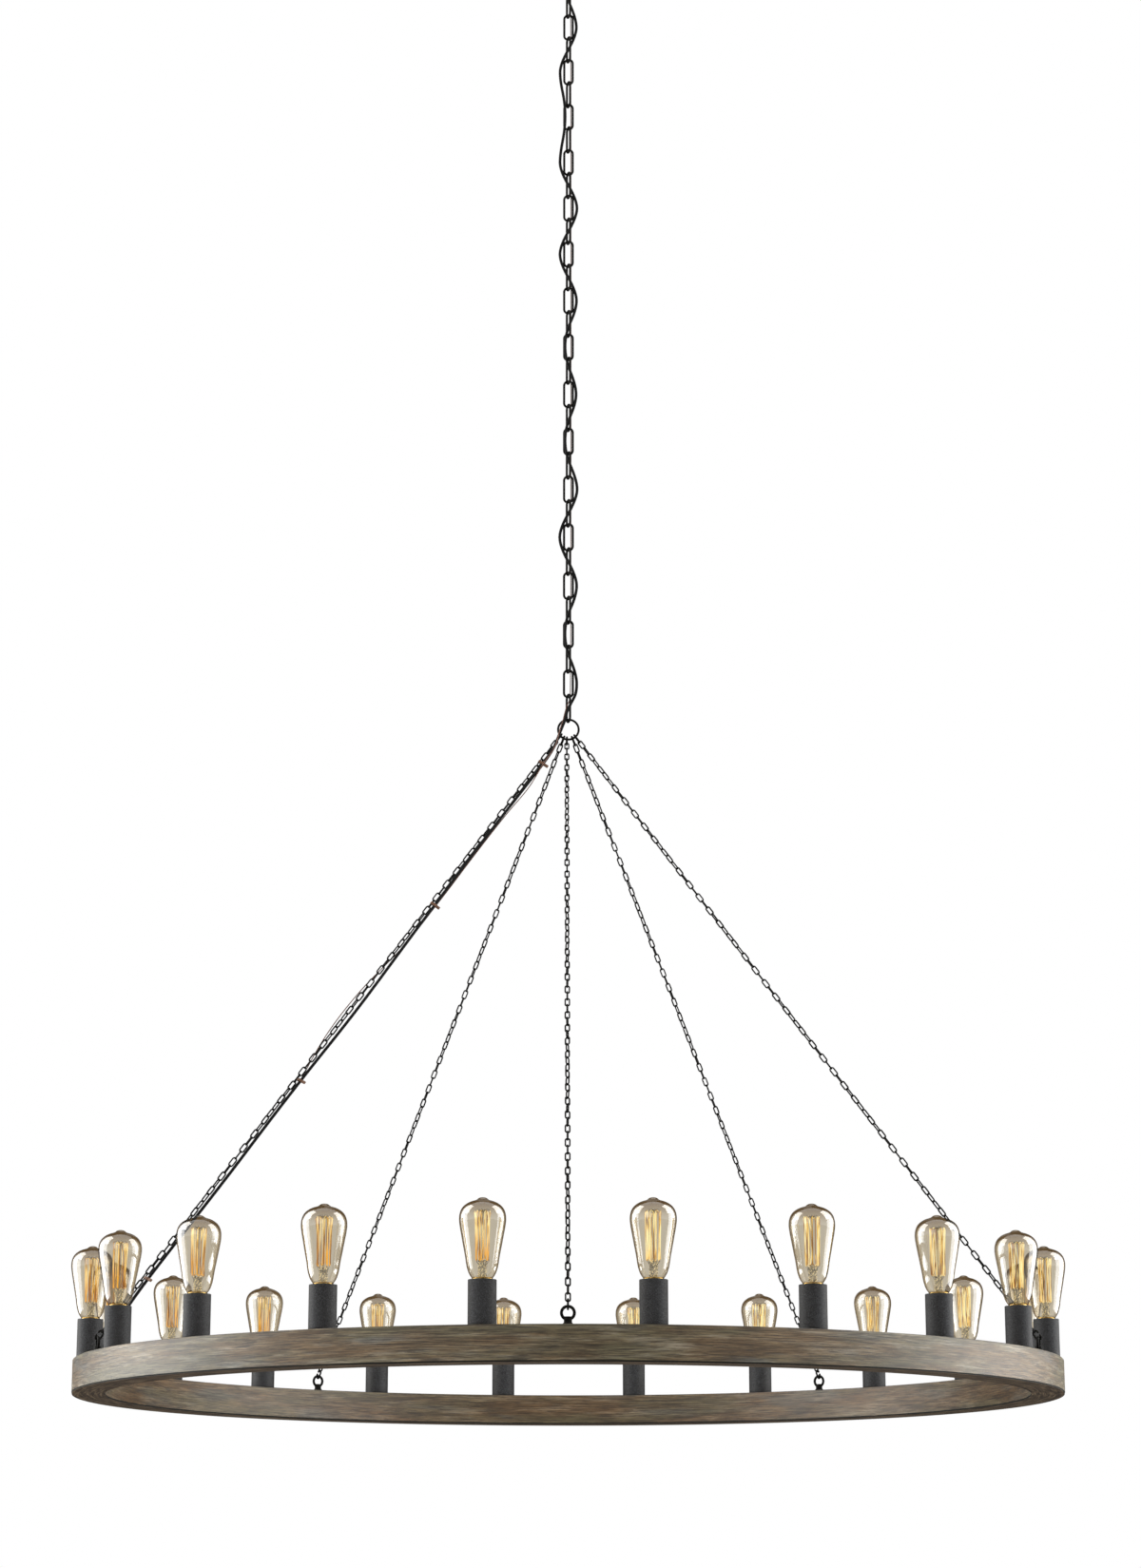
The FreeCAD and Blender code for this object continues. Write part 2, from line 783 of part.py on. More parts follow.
def socket_nipple():
    low = -ring_top_thickness - nut_flange_height - socket_nut_height - socket_nipple_below_nut
    high = holder_bottom_z - ring_top_z + holder_thread_depth - fit_gap
    return tube(nipple_radius, nipple_bore_radius, low, high)


# Lamps

def glass_outline(inset):
    """The half section of the lamp's glass from its neck up to its tip, moved inwards by an inset."""
    def point(radius, height):
        return Vector(max(radius - inset, 0), 0, height)

    neck_low = point(neck_radius, neck_start)
    neck_mid = point(neck_radius, cap_skirt_height)
    neck_out = point(neck_top_radius, neck_top_height)
    taper_low = point(taper_start_radius, taper_start_height)
    shoulder_low = point(shoulder_radius, shoulder_height)
    dome = point(dome_radius, dome_height - inset)
    tip_low = Vector(nipple_tip_radius, 0, nipple_tip_height - inset)
    tip = Vector(0, 0, bulb_length - inset)
    slope = unit(shoulder_low - taper_low)
    shoulder_top = shoulder_low + Vector(0, 0, (dome_height - shoulder_height) / 2)
    shoulder_top.x = shoulder_low.x * shoulder_top_share
    neck_curve = Part.BSplineCurve()
    neck_curve.interpolate(Points=[neck_mid, neck_out, taper_low],
                           Tangents=[UP, unit(taper_low - neck_mid), slope],
                           TangentFlags=[True, True, True])
    dome_curve = Part.BSplineCurve()
    dome_curve.interpolate(Points=[shoulder_low, shoulder_top, dome, tip_low],
                           Tangents=[slope, unit(dome - shoulder_low), unit(tip_low - shoulder_top),
                                     unit(tip_low - dome)],
                           TangentFlags=[True, False, False, False])
    return [
        Part.LineSegment(neck_low, neck_mid).toShape(),
        neck_curve.toShape(),
        Part.LineSegment(taper_low, shoulder_low).toShape(),
        dome_curve.toShape(),
        Part.LineSegment(tip_low, tip).toShape(),
    ]


def bulb_glass():
    """The blown envelope, hollow, with its sealed tip."""
    outer = glass_outline(0)
    inner = glass_outline(glass_wall)
    outer_end = outer[-1].Vertexes[-1].Point
    inner_end = inner[-1].Vertexes[-1].Point
    outer_start = outer[0].Vertexes[0].Point
    inner_start = inner[0].Vertexes[0].Point
    closing = [Part.LineSegment(outer_end, inner_end).toShape(),
               Part.LineSegment(inner_start, outer_start).toShape()]
    wire = Part.Wire(Part.__sortEdges__(outer + inner + closing))
    return Part.Face(wire).revolve(CENTRE, UP, FULL_TURN)


def bulb_cap():
    """The brass screw base, a hollow turned shape with rounded thread crests and a solder tip."""
    profile = [(0, 0), (cap_solder_radius, 0), (cap_solder_radius, cap_solder_height),
               (cap_cone_top_radius, cap_cone_height)]
    height = cap_cone_height
    for number in range(cap_thread_count):
        profile.append((cap_root_radius, height + cap_thread_pitch / 4))
        profile.append((cap_thread_radius, height + cap_thread_pitch / 2))
        profile.append((cap_thread_radius, height + cap_thread_pitch * 3 / 4))
        height = height + cap_thread_pitch
    profile.append((cap_root_radius, height + cap_thread_pitch / 4))
    inner = neck_radius + fit_gap
    profile += [(cap_root_radius, cap_skirt_height), (inner, cap_skirt_height),
                (inner, neck_start - fit_gap), (inner - cap_wall, neck_start - fit_gap),
                (inner - cap_wall, cap_cone_height + cap_wall), (0, cap_cone_height + cap_wall)]
    return lathe(profile)


def bulb_stem():
    """The pressed glass stem and the rod that holds the filament up."""
    rod_top = cage_top_height + cage_spoke_rise
    return lathe([(0, stem_foot_height), (stem_foot_radius, stem_foot_height),
                  (stem_foot_radius, stem_foot_height + glass_wall), (stem_radius, stem_neck_height),
                  (stem_radius, stem_top_height - stem_radius), (stem_rod_radius, stem_top_height),
                  (stem_rod_radius, rod_top), (0, rod_top)])


def bulb_cage():
    """The filament: strands up and down between two wire stars round the stem's rod."""
    wire = cage_wire_radius
    ring_wire = cage_ring_wire_radius
    pieces = []
    bore = stem_rod_radius + fit_gap
    for radius, height, rise in ((cage_top_radius, cage_top_height, cage_spoke_rise / 2),
                                 (cage_bottom_radius, cage_bottom_height, -cage_spoke_rise / 2)):
        pieces.append(raised(Part.makeTorus(radius, ring_wire), Vector(0, 0, height)))
        middle = height + rise
        pieces.append(tube(bore + ring_wire * 2, bore, middle - ring_wire, middle + ring_wire))
        for number in range(cage_strands // 2):
            angle = FULL_TURN * 2 / cage_strands * number
            inner = ring_point(bore + ring_wire, angle, middle)
            pieces.append(rod(wire, inner, ring_point(radius, angle, height)))
    for number in range(cage_strands):
        angle = FULL_TURN / cage_strands * (number + 0.5)
        pieces.append(rod(wire, ring_point(cage_bottom_radius, angle, cage_bottom_height),
                          ring_point(cage_top_radius, angle, cage_top_height)))
    return pieces[0].multiFuse(pieces[1:])


# Cord and ground wire

def main_link_z(from_bottom):
    """The height of the middle of a main link, counted from the lowest one."""
    return bottom_link_z + main_pitch * from_bottom


weave = [
    # the face-on links from the top down, and how far the cord swings out, + to the right;
    # at 0 it lies inside the link, in front of its left leg
    (29, weave_middle), (27, -weave_wide), (25, 0), (23, -weave_wide), (21, weave_wide),
    (19, -weave_wide), (17, weave_middle), (15, 0), (13, weave_narrow), (11, 0), (9, weave_wide),
    (7, -weave_wide), (5, weave_middle), (3, 0), (1, weave_middle),
]
cord_split = Vector(5.5, -0.5, main_link_z(0) + 10.9)
ground_split = Vector(1.6, 1.66, main_link_z(0) + 14.0)


def chain_cord_points():
    """From the nipple down through the loop, then in and out of the main chain to its lowest link."""
    points = [
        Vector(-cord_way_offset, 0, nipple_bottom_z),
        Vector(-cord_way_offset, 0, loop_body_bottom_z),
        Vector(-weave_front_x, -weave_front_y, loop_wire_z + loop_wire_radius * 2),
        Vector(-6.1, -4.9, top_link_z + 3.4),
        Vector(-weave_front_x, -weave_front_y, top_link_z - weave_front_half_run),
    ]
    for number, x in weave:
        middle = main_link_z(number)
        half = weave_front_half_run if x == 0 else weave_half_run
        place_x = -weave_front_x if x == 0 else x
        place_y = -weave_front_y if x == 0 else 0
        points.append(Vector(place_x, place_y, middle + half))
        points.append(Vector(place_x, place_y, middle - half))
    return points + [cord_split]


def chain_ground_points():
    """The ground wire, which hangs almost straight inside the links."""
    return [
        Vector(ground_way_offset, 0, nipple_bottom_z),
        Vector(ground_way_offset, 0, loop_body_bottom_z),
        Vector(ground_line_x, ground_line_y, loop_bend_z - loop_wire_radius),
        Vector(ground_line_x, ground_line_y, main_link_z(0) + 21.0),
        ground_split,
    ]


left_start = hub_wire_point(chain_places[0][2])
left_end = ring_point(eye_circle_radius, -eye_step, eye_wire_top_z)
left_along = unit(left_end - left_start)
left_reach = (left_end - left_start).Length
left_front = square_to(Vector(0, -1, 0), left_along)
left_out = left_front.cross(left_along)

# Beside the left chain: how far down it as a share, then how far below it and in front of it
cord_run = [
    (0.018, 3.4, 6.6), (0.033, 5.3, 4.2), (0.048, 5.8, 3.5), (0.080, 5.6, 3.8), (0.125, 5.3, 4.2),
    (0.175, 4.9, 4.7), (0.225, 5.0, 4.6), (0.265, 5.5, 4.0), (0.296, 6.0, 2.9), (0.335, 6.4, 2.6),
    (0.380, 7.3, 2.2), (0.425, 8.3, 1.6), (0.470, 8.9, 1.0), (0.515, 8.4, 0.6), (0.558, 7.2, 0.4),
    (0.594, 6.6, 0.2), (0.640, 6.5, 1.0), (0.685, 6.9, 1.6), (0.730, 7.4, 1.4), (0.775, 7.2, 0.8),
    (0.820, 6.7, 0.9), (0.865, 6.5, 1.6), (0.909, 6.5, 2.2), (0.938, 7.4, 3.4), (0.968, 10.0, 7.5),
]
ground_run = [
    (0.018, 5.0, 9.2), (0.034, 6.3, 7.6), (0.048, 6.0, 7.2), (0.066, 8.8, 5.6), (0.085, 11.2, 4.6),
    (0.105, 10.6, 3.4), (0.130, 8.4, 2.6), (0.175, 7.7, 3.2), (0.225, 7.8, 3.4), (0.265, 8.2, 2.0),
    (0.296, 7.6, -0.4), (0.335, 7.4, -1.6), (0.370, 5.0, -4.4), (0.400, 0.5, -6.2),
    (0.430, -4.2, -4.6), (0.460, -6.2, -1.8), (0.490, -6.9, -0.6), (0.520, -6.0, -2.4),
    (0.550, -2.6, -5.4), (0.575, 2.6, -5.5), (0.594, 5.8, -4.2), (0.640, 6.6, -2.2),
    (0.685, 7.0, -1.5), (0.730, 7.5, -1.7), (0.775, 7.3, -2.3), (0.820, 6.8, -2.2), (0.865, 6.9, -1.6),
    (0.909, 7.6, -1.4), (0.938, 8.6, -0.4), (0.968, 11.4, 3.6),
]
tie_shares = [0.048, 0.296, 0.594, 0.909]


def beside_left_chain(share, below, front):
    return left_start + left_along * (left_reach * share) + left_out * below + left_front * front


def hub_offset(x, y, z):
    return Vector(x, y, hub_z + z)


def into_ring(sideways):
    """The last two points of the cord or the ground wire, down through the grommet."""
    grommet = ring_point(grommet_circle_radius, grommet_angle, 0) + tangent(grommet_angle) * sideways
    return [Vector(grommet.x, grommet.y, ring_top_z + 16.0), Vector(grommet.x, grommet.y, junction_top_z)]


def wheel_cord_points():
    """Out of the lowest link, in front of the hub ring, along the left chain and into the ring."""
    points = [cord_split, Vector(-2.6, -1.0, main_link_z(0) - 5.0), hub_offset(-5.2, -4.9, 15.0),
              hub_offset(-10.6, -7.2, 1.0), hub_offset(-14.6, -8.8, -10.0)]
    points += [beside_left_chain(*place) for place in cord_run]
    return points + into_ring(cord_way_offset)


def wheel_ground_points():
    points = [ground_split, Vector(-3.4, -1.2, main_link_z(0) + 1.0),
              Vector(-6.6, -2.8, main_link_z(0) - 11.0), hub_offset(-8.8, -6.2, 13.0),
              hub_offset(-13.2, -9.4, 0.0), hub_offset(-15.8, -12.0, -11.0)]
    points += [beside_left_chain(*place) for place in ground_run]
    return points + into_ring(-ground_way_offset)


def ceiling_cord():
    """The cord's end inside the canopy: its jacket in the nipple, and two conductors out of it."""
    jacket_end = nipple_top_z + conductor_radius
    start = Vector(-cord_way_offset, 0, nipple_bottom_z)
    pieces = [rod(cord_radius, start, Vector(-cord_way_offset, 0, jacket_end))]
    for side in (1, -1):
        y = side * conductor_radius
        points = [
            Vector(-cord_way_offset, y, jacket_end),
            Vector(-cord_way_offset, y, jacket_end + 2.4),
            Vector(-cord_way_offset, side * 5.0, -3.4),
            Vector(-cord_way_offset, side * 13.0, -2.6),
            Vector(-cord_way_offset, side * 21.0, -5.0),
            Vector(-cord_way_offset, side * 26.0, -11.0),
            Vector(-cord_way_offset, side * connector_place_y, -19.0),
            Vector(-cord_way_offset, side * connector_place_y, -28.0),
        ]
        pieces.append(cable(points, conductor_radius, "conductor"))
    return pieces


def ceiling_ground():
    """The ground wire's end, from the nipple to its screw."""
    x = ground_way_offset
    points = [
        Vector(x, 0, nipple_bottom_z),
        Vector(x, 0, nipple_top_z + 1.5),
        Vector(4.6, 1.4, -4.4),
        Vector(10.0, 4.4, -3.0),
        Vector(16.0, 5.8, -5.0),
        Vector(20.0, 4.4, -9.6),
        Vector(ground_screw_offset, ground_screw_radius + ground_radius + fit_gap, -15.2),
    ]
    return cable(points, ground_radius, "ground at the screw")


def wire_connector():
    """A twist-on cap, open end up."""
    bottom = -connector_cap_length
    bore = conductor_radius + fit_gap
    return lathe([(bore, 0), (connector_cap_radius, 0), (connector_cap_radius, bottom / 4),
                  (connector_cap_tip_radius, bottom), (0, bottom),
                  (0, -connector_cap_bore_depth), (bore, -connector_cap_bore_depth)])


def cord_tie(number_share, cord_place, places):
    """A band round one leg of a thin link and the cord beside it, with its twisted tail."""
    distance, across = min(places, key=lambda place: abs(place[0] - left_reach * number_share))
    centre = left_start + left_along * distance
    cord = beside_left_chain(*cord_place) - centre
    cord = cord - left_along * cord.dot(left_along)
    leg = across * (thin_link_width / 2 - thin_wire_radius)
    if leg.dot(cord) < 0:
        leg = -leg
    sideways = unit(cord - leg)
    reach = (cord - leg).Length
    band = hull(thin_wire_radius + tie_gap + tie_wall, cord_radius + tie_gap + tie_wall, reach)
    hole = hull(thin_wire_radius + tie_gap, cord_radius + tie_gap, reach)
    tail_start = reach + cord_radius + tie_gap + tie_wall / 2
    tail = Part.makeBox(tie_tail, tie_tail_thickness, tie_width,
                        Vector(tail_start, -tie_tail_thickness / 2, 0))
    tie = band.cut(hole).fuse(tail)
    return put(tie, centre + leg - left_along * (tie_width / 2), sideways, left_along)


def hull(near_radius, far_radius, distance):
    """A band outline round two circles, the second one along X, as thick as a tie is wide."""
    lean = math.asin((far_radius - near_radius) / distance)
    tilt = Vector(-math.sin(lean), math.cos(lean), 0)
    mirror = Vector(tilt.x, -tilt.y, 0)
    far = Vector(distance, 0, 0)
    edges = [
        Part.LineSegment(tilt * near_radius, far + tilt * far_radius).toShape(),
        Part.Arc(far + tilt * far_radius, far + Vector(far_radius, 0, 0),
                 far + mirror * far_radius).toShape(),
        Part.LineSegment(far + mirror * far_radius, mirror * near_radius).toShape(),
        Part.Arc(mirror * near_radius, Vector(-near_radius, 0, 0), tilt * near_radius).toShape(),
    ]
    return Part.Face(Part.Wire(edges)).extrude(Vector(0, 0, tie_width))


def cord_grommet():
    """The flanged sleeve that the cord goes through."""
    return lathe([(grommet_bore_radius, -ring_top_thickness), (grommet_radius, -ring_top_thickness),
                  (grommet_radius, 0), (grommet_flange_radius, 0),
                  (grommet_flange_radius, grommet_flange_height),
                  (grommet_bore_radius, grommet_flange_height)])


def ring_harness():
    """The wires inside the ring as one ring cable, with a lead up to each lamp's contact."""
    pieces = [raised(Part.makeTorus(socket_circle_radius, harness_radius), Vector(0, 0, harness_z))]
    for angle in socket_angles():
        low = ring_point(socket_circle_radius, angle, harness_z)
        high = ring_point(socket_circle_radius, angle, contact_bottom_z)
        pieces.append(rod(socket_lead_radius, low, high))
    place = ring_point(grommet_circle_radius, grommet_angle, cover_top_z + fit_gap)
    pieces.append(rod(harness_junction_radius, place, Vector(place.x, place.y, junction_top_z)))
    return joined(pieces)


# Build and export

os.makedirs("parts", exist_ok=True)

export([canopy()], "canopy")
export([collar_ring()], "collar_ring")
export([crossbar()], "ceiling_crossbar")
export([ground_screw()], "ground_screw")
export([tube(nipple_radius, nipple_bore_radius, nipple_bottom_z, nipple_top_z)], "threaded_nipple")
export(nipple_nuts(), "nipple_nuts")
export([canopy_loop()], "canopy_loop")

links = main_links()
export(links[:1], "top_link")
export(links[1:-1], "main_chain")
export(links[-1:], "bottom_link")
export([hub_ring()], "hub_ring")

hooks = []
eye_links = []
left_places = []
for chain_name, eye_number, hook_angle, half_turns in chain_places:
    hook, thin, eye, places = thin_chain(eye_step * eye_number, hook_angle, half_turns)
    hooks.append(hook)
    eye_links.append(eye)
    if chain_name == "left":
        left_places = places
    export(thin, "chain_" + chain_name)
export(hooks, "hub_connectors")
export(eye_links, "eye_links")

bolt = eye_bolt()
foot = eye_base()
eye_nut = flange_nut(eye_nut_flats, eye_nut_height, eye_nut_flange_radius,
                     eye_shank_radius + fit_gap)
eye_parts = [
    ("eye_bolts", bolt, ring_top_z),
    ("eye_bases", foot, ring_top_z),
    ("eye_nuts", eye_nut, cavity_top_z),
]
for part_name, shape, z in eye_parts:
    export([faced_to_ring(shape, eye_circle_radius, angle, z) for angle in eye_places()], part_name)

export(ring_body(), "ring_body")
export([ring_cover()], "ring_cover")
export(spread(cover_screw(), cover_screw_places()), "cover_screws")
grommet_place = ring_point(grommet_circle_radius, grommet_angle, ring_top_z)
export([raised(cord_grommet(), grommet_place)], "cord_grommet")
export([ring_harness()], "ring_harness")

socket_nut = flange_nut(socket_nut_flats, socket_nut_height, socket_nut_flange_radius,
                        nipple_radius + fit_gap)
socket_parts = [
    ("socket_cups", socket_cup(), ring_top_z),
    ("socket_washers", socket_washer(), ring_top_z),
    ("lamp_holders", lamp_holder(), ring_top_z),
    ("screw_shells", screw_shell(), ring_top_z),
    ("centre_contacts", centre_contact(), ring_top_z),
    ("socket_nipples", socket_nipple(), ring_top_z),
    ("socket_nuts", socket_nut, cavity_top_z),
]
for part_name, shape, z in socket_parts:
    places = [ring_point(socket_circle_radius, angle, z) for angle in socket_angles()]
    export(spread(shape, places), part_name)

lamp = [bulb_glass(), bulb_cap(), bulb_stem(), bulb_cage()]
for number, angle in enumerate(socket_angles()):
    place = ring_point(socket_circle_radius, angle, bulb_base_z)
    export([raised(piece, place) for piece in lamp], "bulb_%02d" % (number + 1))

connector_places = [Vector(-cord_way_offset, side * connector_place_y, connector_top_z)
                    for side in (1, -1)]
export(spread(wire_connector(), connector_places), "wire_connectors")
export(ceiling_cord() + [ceiling_ground()], "ceiling_wires")
export([cable(chain_cord_points(), cord_radius, "supply_cord_chain")], "supply_cord_chain")
export([cable(chain_ground_points(), ground_radius, "ground_wire_chain")], "ground_wire_chain")
export([cable(wheel_cord_points(), cord_radius, "supply_cord_wheel")], "supply_cord_wheel")
export([cable(wheel_ground_points(), ground_radius, "ground_wire_wheel")], "ground_wire_wheel")
export([cord_tie(share, (share, below, front), left_places)
        for share, below, front in cord_run if share in tie_shares], "cord_ties")
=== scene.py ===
# %% [markdown]
# A ring chandelier with twenty lamps
# The real object is a round wood channel that hangs from five thin chains. They meet at a small steel ring
# under one heavier chain, with a black cord woven through it. Twenty pear-shaped lamps stand on the ring.
# The solids come measured from the frame file. This script gives them their finishes, and makes the thin and
# clear things anew that a solid model shows badly: glass, filaments and cords.

# %% Load the measured model
import json
import math
import random

import bmesh
import bpy
from mathutils import Matrix, Vector


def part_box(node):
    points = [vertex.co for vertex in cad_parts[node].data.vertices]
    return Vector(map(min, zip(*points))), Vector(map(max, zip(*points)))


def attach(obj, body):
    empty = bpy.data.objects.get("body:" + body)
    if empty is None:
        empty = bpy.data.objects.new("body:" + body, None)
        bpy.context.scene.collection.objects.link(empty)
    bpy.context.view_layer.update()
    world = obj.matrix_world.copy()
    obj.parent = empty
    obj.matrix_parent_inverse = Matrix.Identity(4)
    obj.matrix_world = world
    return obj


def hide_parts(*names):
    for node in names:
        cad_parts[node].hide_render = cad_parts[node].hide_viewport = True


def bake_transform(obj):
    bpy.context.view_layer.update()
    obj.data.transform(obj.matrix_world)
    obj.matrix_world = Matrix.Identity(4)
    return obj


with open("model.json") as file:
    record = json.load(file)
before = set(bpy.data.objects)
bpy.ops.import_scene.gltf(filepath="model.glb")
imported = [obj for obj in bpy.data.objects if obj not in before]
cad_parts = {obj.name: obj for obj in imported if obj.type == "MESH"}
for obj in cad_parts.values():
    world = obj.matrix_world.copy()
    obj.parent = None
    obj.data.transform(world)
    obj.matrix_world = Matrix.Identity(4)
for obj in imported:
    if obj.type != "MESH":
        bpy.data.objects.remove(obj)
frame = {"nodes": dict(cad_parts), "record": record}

scene = bpy.context.scene
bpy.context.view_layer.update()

# %% [markdown]
# Measures that several pieces share
# Blender works in metres. The lamps, the cord and the wood pattern all need the height of the ring, so it is
# read from the frame once. Reading a size is safer than typing it twice: the two can't drift apart.

# %% Shared places
mm = 0.001
lamp_count = 20
lamp_circle_radius = 737 * mm


def middle(node):
    low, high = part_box(node)
    return (low + high) / 2


ring_low, ring_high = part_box("ring_cover")[0].z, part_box("ring_body")[1].z
ring_middle = (ring_low + ring_high) / 2
lamp_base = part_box("bulb_01")[0].z
print("ring from", round(ring_low, 4), "to", round(ring_high, 4), "lamp base", round(lamp_base, 4))

# %% [markdown]
# The camera
# The photograph was taken from below the ring, with the camera tipped up. Its place was worked out from the
# ring's ellipses and the lamps' tips, so the picture's lines and the model's lines fall on each other.
# The focal length is kept in pixels of the photograph and turned into millimetres of the sensor here.

# %% Camera
photo_height_pixels = 1649
focal_pixels = 3510.05
sensor_mm = 36.0
camera_aside, camera_away, camera_below = 3.44 * mm, 5246.4 * mm, 355.2 * mm
camera_tilt = 14.03
camera = bpy.data.objects.new("camera", bpy.data.cameras.new("camera"))
camera.data.sensor_width = sensor_mm
camera.data.lens = sensor_mm * focal_pixels / photo_height_pixels
camera.location = (camera_aside, -camera_away, ring_middle - camera_below)
camera.rotation_euler = (math.radians(90 + camera_tilt), 0, 0)
scene.collection.objects.link(camera)
scene.camera = camera
scene.view_settings.view_transform = "Standard"
print("lens", round(camera.data.lens, 2), "mm")

# %% [markdown]
# Shader maths as plain sums
# A finish is a small network of nodes. Wiring each sum by hand hides the idea, so a socket is wrapped in a
# class that knows plus, minus and times. Every other node comes from one method: it takes the node's type, its
# settings, and what goes into its sockets. The world is such a network too, so it shares that method.

# %% A value in a network of nodes


class Value:
    """A socket that sums and products can use."""

    def __init__(self, nodes, socket):
        self.nodes = nodes
        self.socket = socket

    def maths(self, operation, first, second=0.0):
        return self.nodes.node("ShaderNodeMath", {"operation": operation}, {0: first, 1: second})

    def __add__(self, other):
        return self.maths("ADD", self, other)

    def __radd__(self, other):
        return self.maths("ADD", other, self)

    def __sub__(self, other):
        return self.maths("SUBTRACT", self, other)

    def __rsub__(self, other):
        return self.maths("SUBTRACT", other, self)

    def __mul__(self, other):
        return self.maths("MULTIPLY", self, other)

    def __rmul__(self, other):
        return self.maths("MULTIPLY", other, self)

    def __pow__(self, other):
        return self.maths("POWER", self, other)

    def size(self):
        return self.maths("ABSOLUTE", self)

    def or_larger(self, other):
        return self.maths("MAXIMUM", self, other)

    def between(self, low, high):
        """0 up to low, 1 from high on, and even in between."""
        inputs = {"Value": self, "From Min": low, "From Max": high}
        return self.nodes.node("ShaderNodeMapRange", {"clamp": True}, inputs)


# %% A network of nodes, and a material


class Nodes:
    """A network of shader nodes, in a material or in the world."""

    def __init__(self, tree):
        self.tree = tree

    def feed(self, socket, value):
        if isinstance(value, Value):
            self.tree.links.new(value.socket, socket)
        else:
            socket.default_value = value

    def node(self, kind, settings=None, inputs=None, output=0):
        made = self.tree.nodes.new(kind)
        for name, setting in (settings or {}).items():
            if name == "stops":
                self.set_stops(made.color_ramp.elements, setting)
            else:
                setattr(made, name, setting)
        for name, value in (inputs or {}).items():
            self.feed(made.inputs[name], value)
        return Value(self, made.outputs[output])

    def set_stops(self, elements, stops):
        while len(elements) < len(stops):
            elements.new(1.0)
        for element, (place, tint) in zip(elements, stops):
            element.position = place
            element.color = tint


class Finish(Nodes):
    """A material with a Principled shader, and the patterns that feed it."""

    def __init__(self, name, **sockets):
        self.material = bpy.data.materials.new(name)
        self.material.use_nodes = True
        super().__init__(self.material.node_tree)
        self.shader = self.tree.nodes["Principled BSDF"]
        self.set(**sockets)

    def set(self, **sockets):
        for socket, value in sockets.items():
            self.feed(self.shader.inputs[socket.replace("_", " ")], value)

    def point(self):
        """The place on the piece in metres, as three values."""
        place = self.node("ShaderNodeTexCoord", output="Object")
        parts = self.node("ShaderNodeSeparateXYZ", None, {0: place}).socket.node
        return [Value(self, socket) for socket in parts.outputs]

    def vector(self, x, y, z):
        return self.node("ShaderNodeCombineXYZ", None, {0: x, 1: y, 2: z})

    def noise(self, vector, scale, detail=3.0, roughness=0.55):
        inputs = {"Vector": vector, "Scale": scale, "Detail": detail, "Roughness": roughness}
        return self.node("ShaderNodeTexNoise", None, inputs)

    def ramp(self, value, *stops):
        return self.node("ShaderNodeValToRGB", {"stops": stops}, {0: value})

    def mixed(self, factor, first, second, way="MIX"):
        settings = {"data_type": "RGBA", "blend_type": way}
        return self.node("ShaderNodeMix", settings, {0: factor, 6: first, 7: second}, output=2)

    def relief(self, height, depth, strength=1.0):
        inputs = {"Height": height, "Distance": depth, "Strength": strength}
        self.set(Normal=self.node("ShaderNodeBump", None, inputs))

    def body(self):
        """What the Principled shader gives, to be mixed with a clear one."""
        return Value(self, self.shader.outputs[0])

    def clear(self, tint):
        return self.node("ShaderNodeBsdfTransparent", None, {0: tint})

    def layered(self, share, first, second):
        """A share of the second shader over the first."""
        return self.node("ShaderNodeMixShader", None, {0: share, 1: first, 2: second})

    def show(self, shader):
        self.feed(self.tree.nodes["Material Output"].inputs["Surface"], shader)


# %% Colours and the list of finishes


def colour(red, green, blue):
    return (red, green, blue, 1.0)


def grey(level):
    return colour(level, level, level)


finishes = {}
print("maths and materials ready")

# %% [markdown]
# Weathered wood
# The ring is bent wood with a grey-brown weathered stain. The grain runs round the ring, in streaks a
# millimetre or two high and a few centimetres long, over soft olive, red-brown and blue-grey patches. A picture
# could be wrapped round the ring, but a pattern worked out from the place has no seam. Along the ring the place
# changes slowly in x and y, and across the grain quickly in height and radius, which stretches the noise into
# streaks. The face that looks inwards gets painted shade, darker and browner, and the top edges are darker.

# %% Weathered wood
band_middle_radius = 736.8 * mm
inward_face = (711.3 * mm, 712.0 * mm)
edge_from_band_middle = (24.0 * mm, 25.0 * mm)
edge_above_ring_middle = (23.8 * mm, 24.7 * mm)


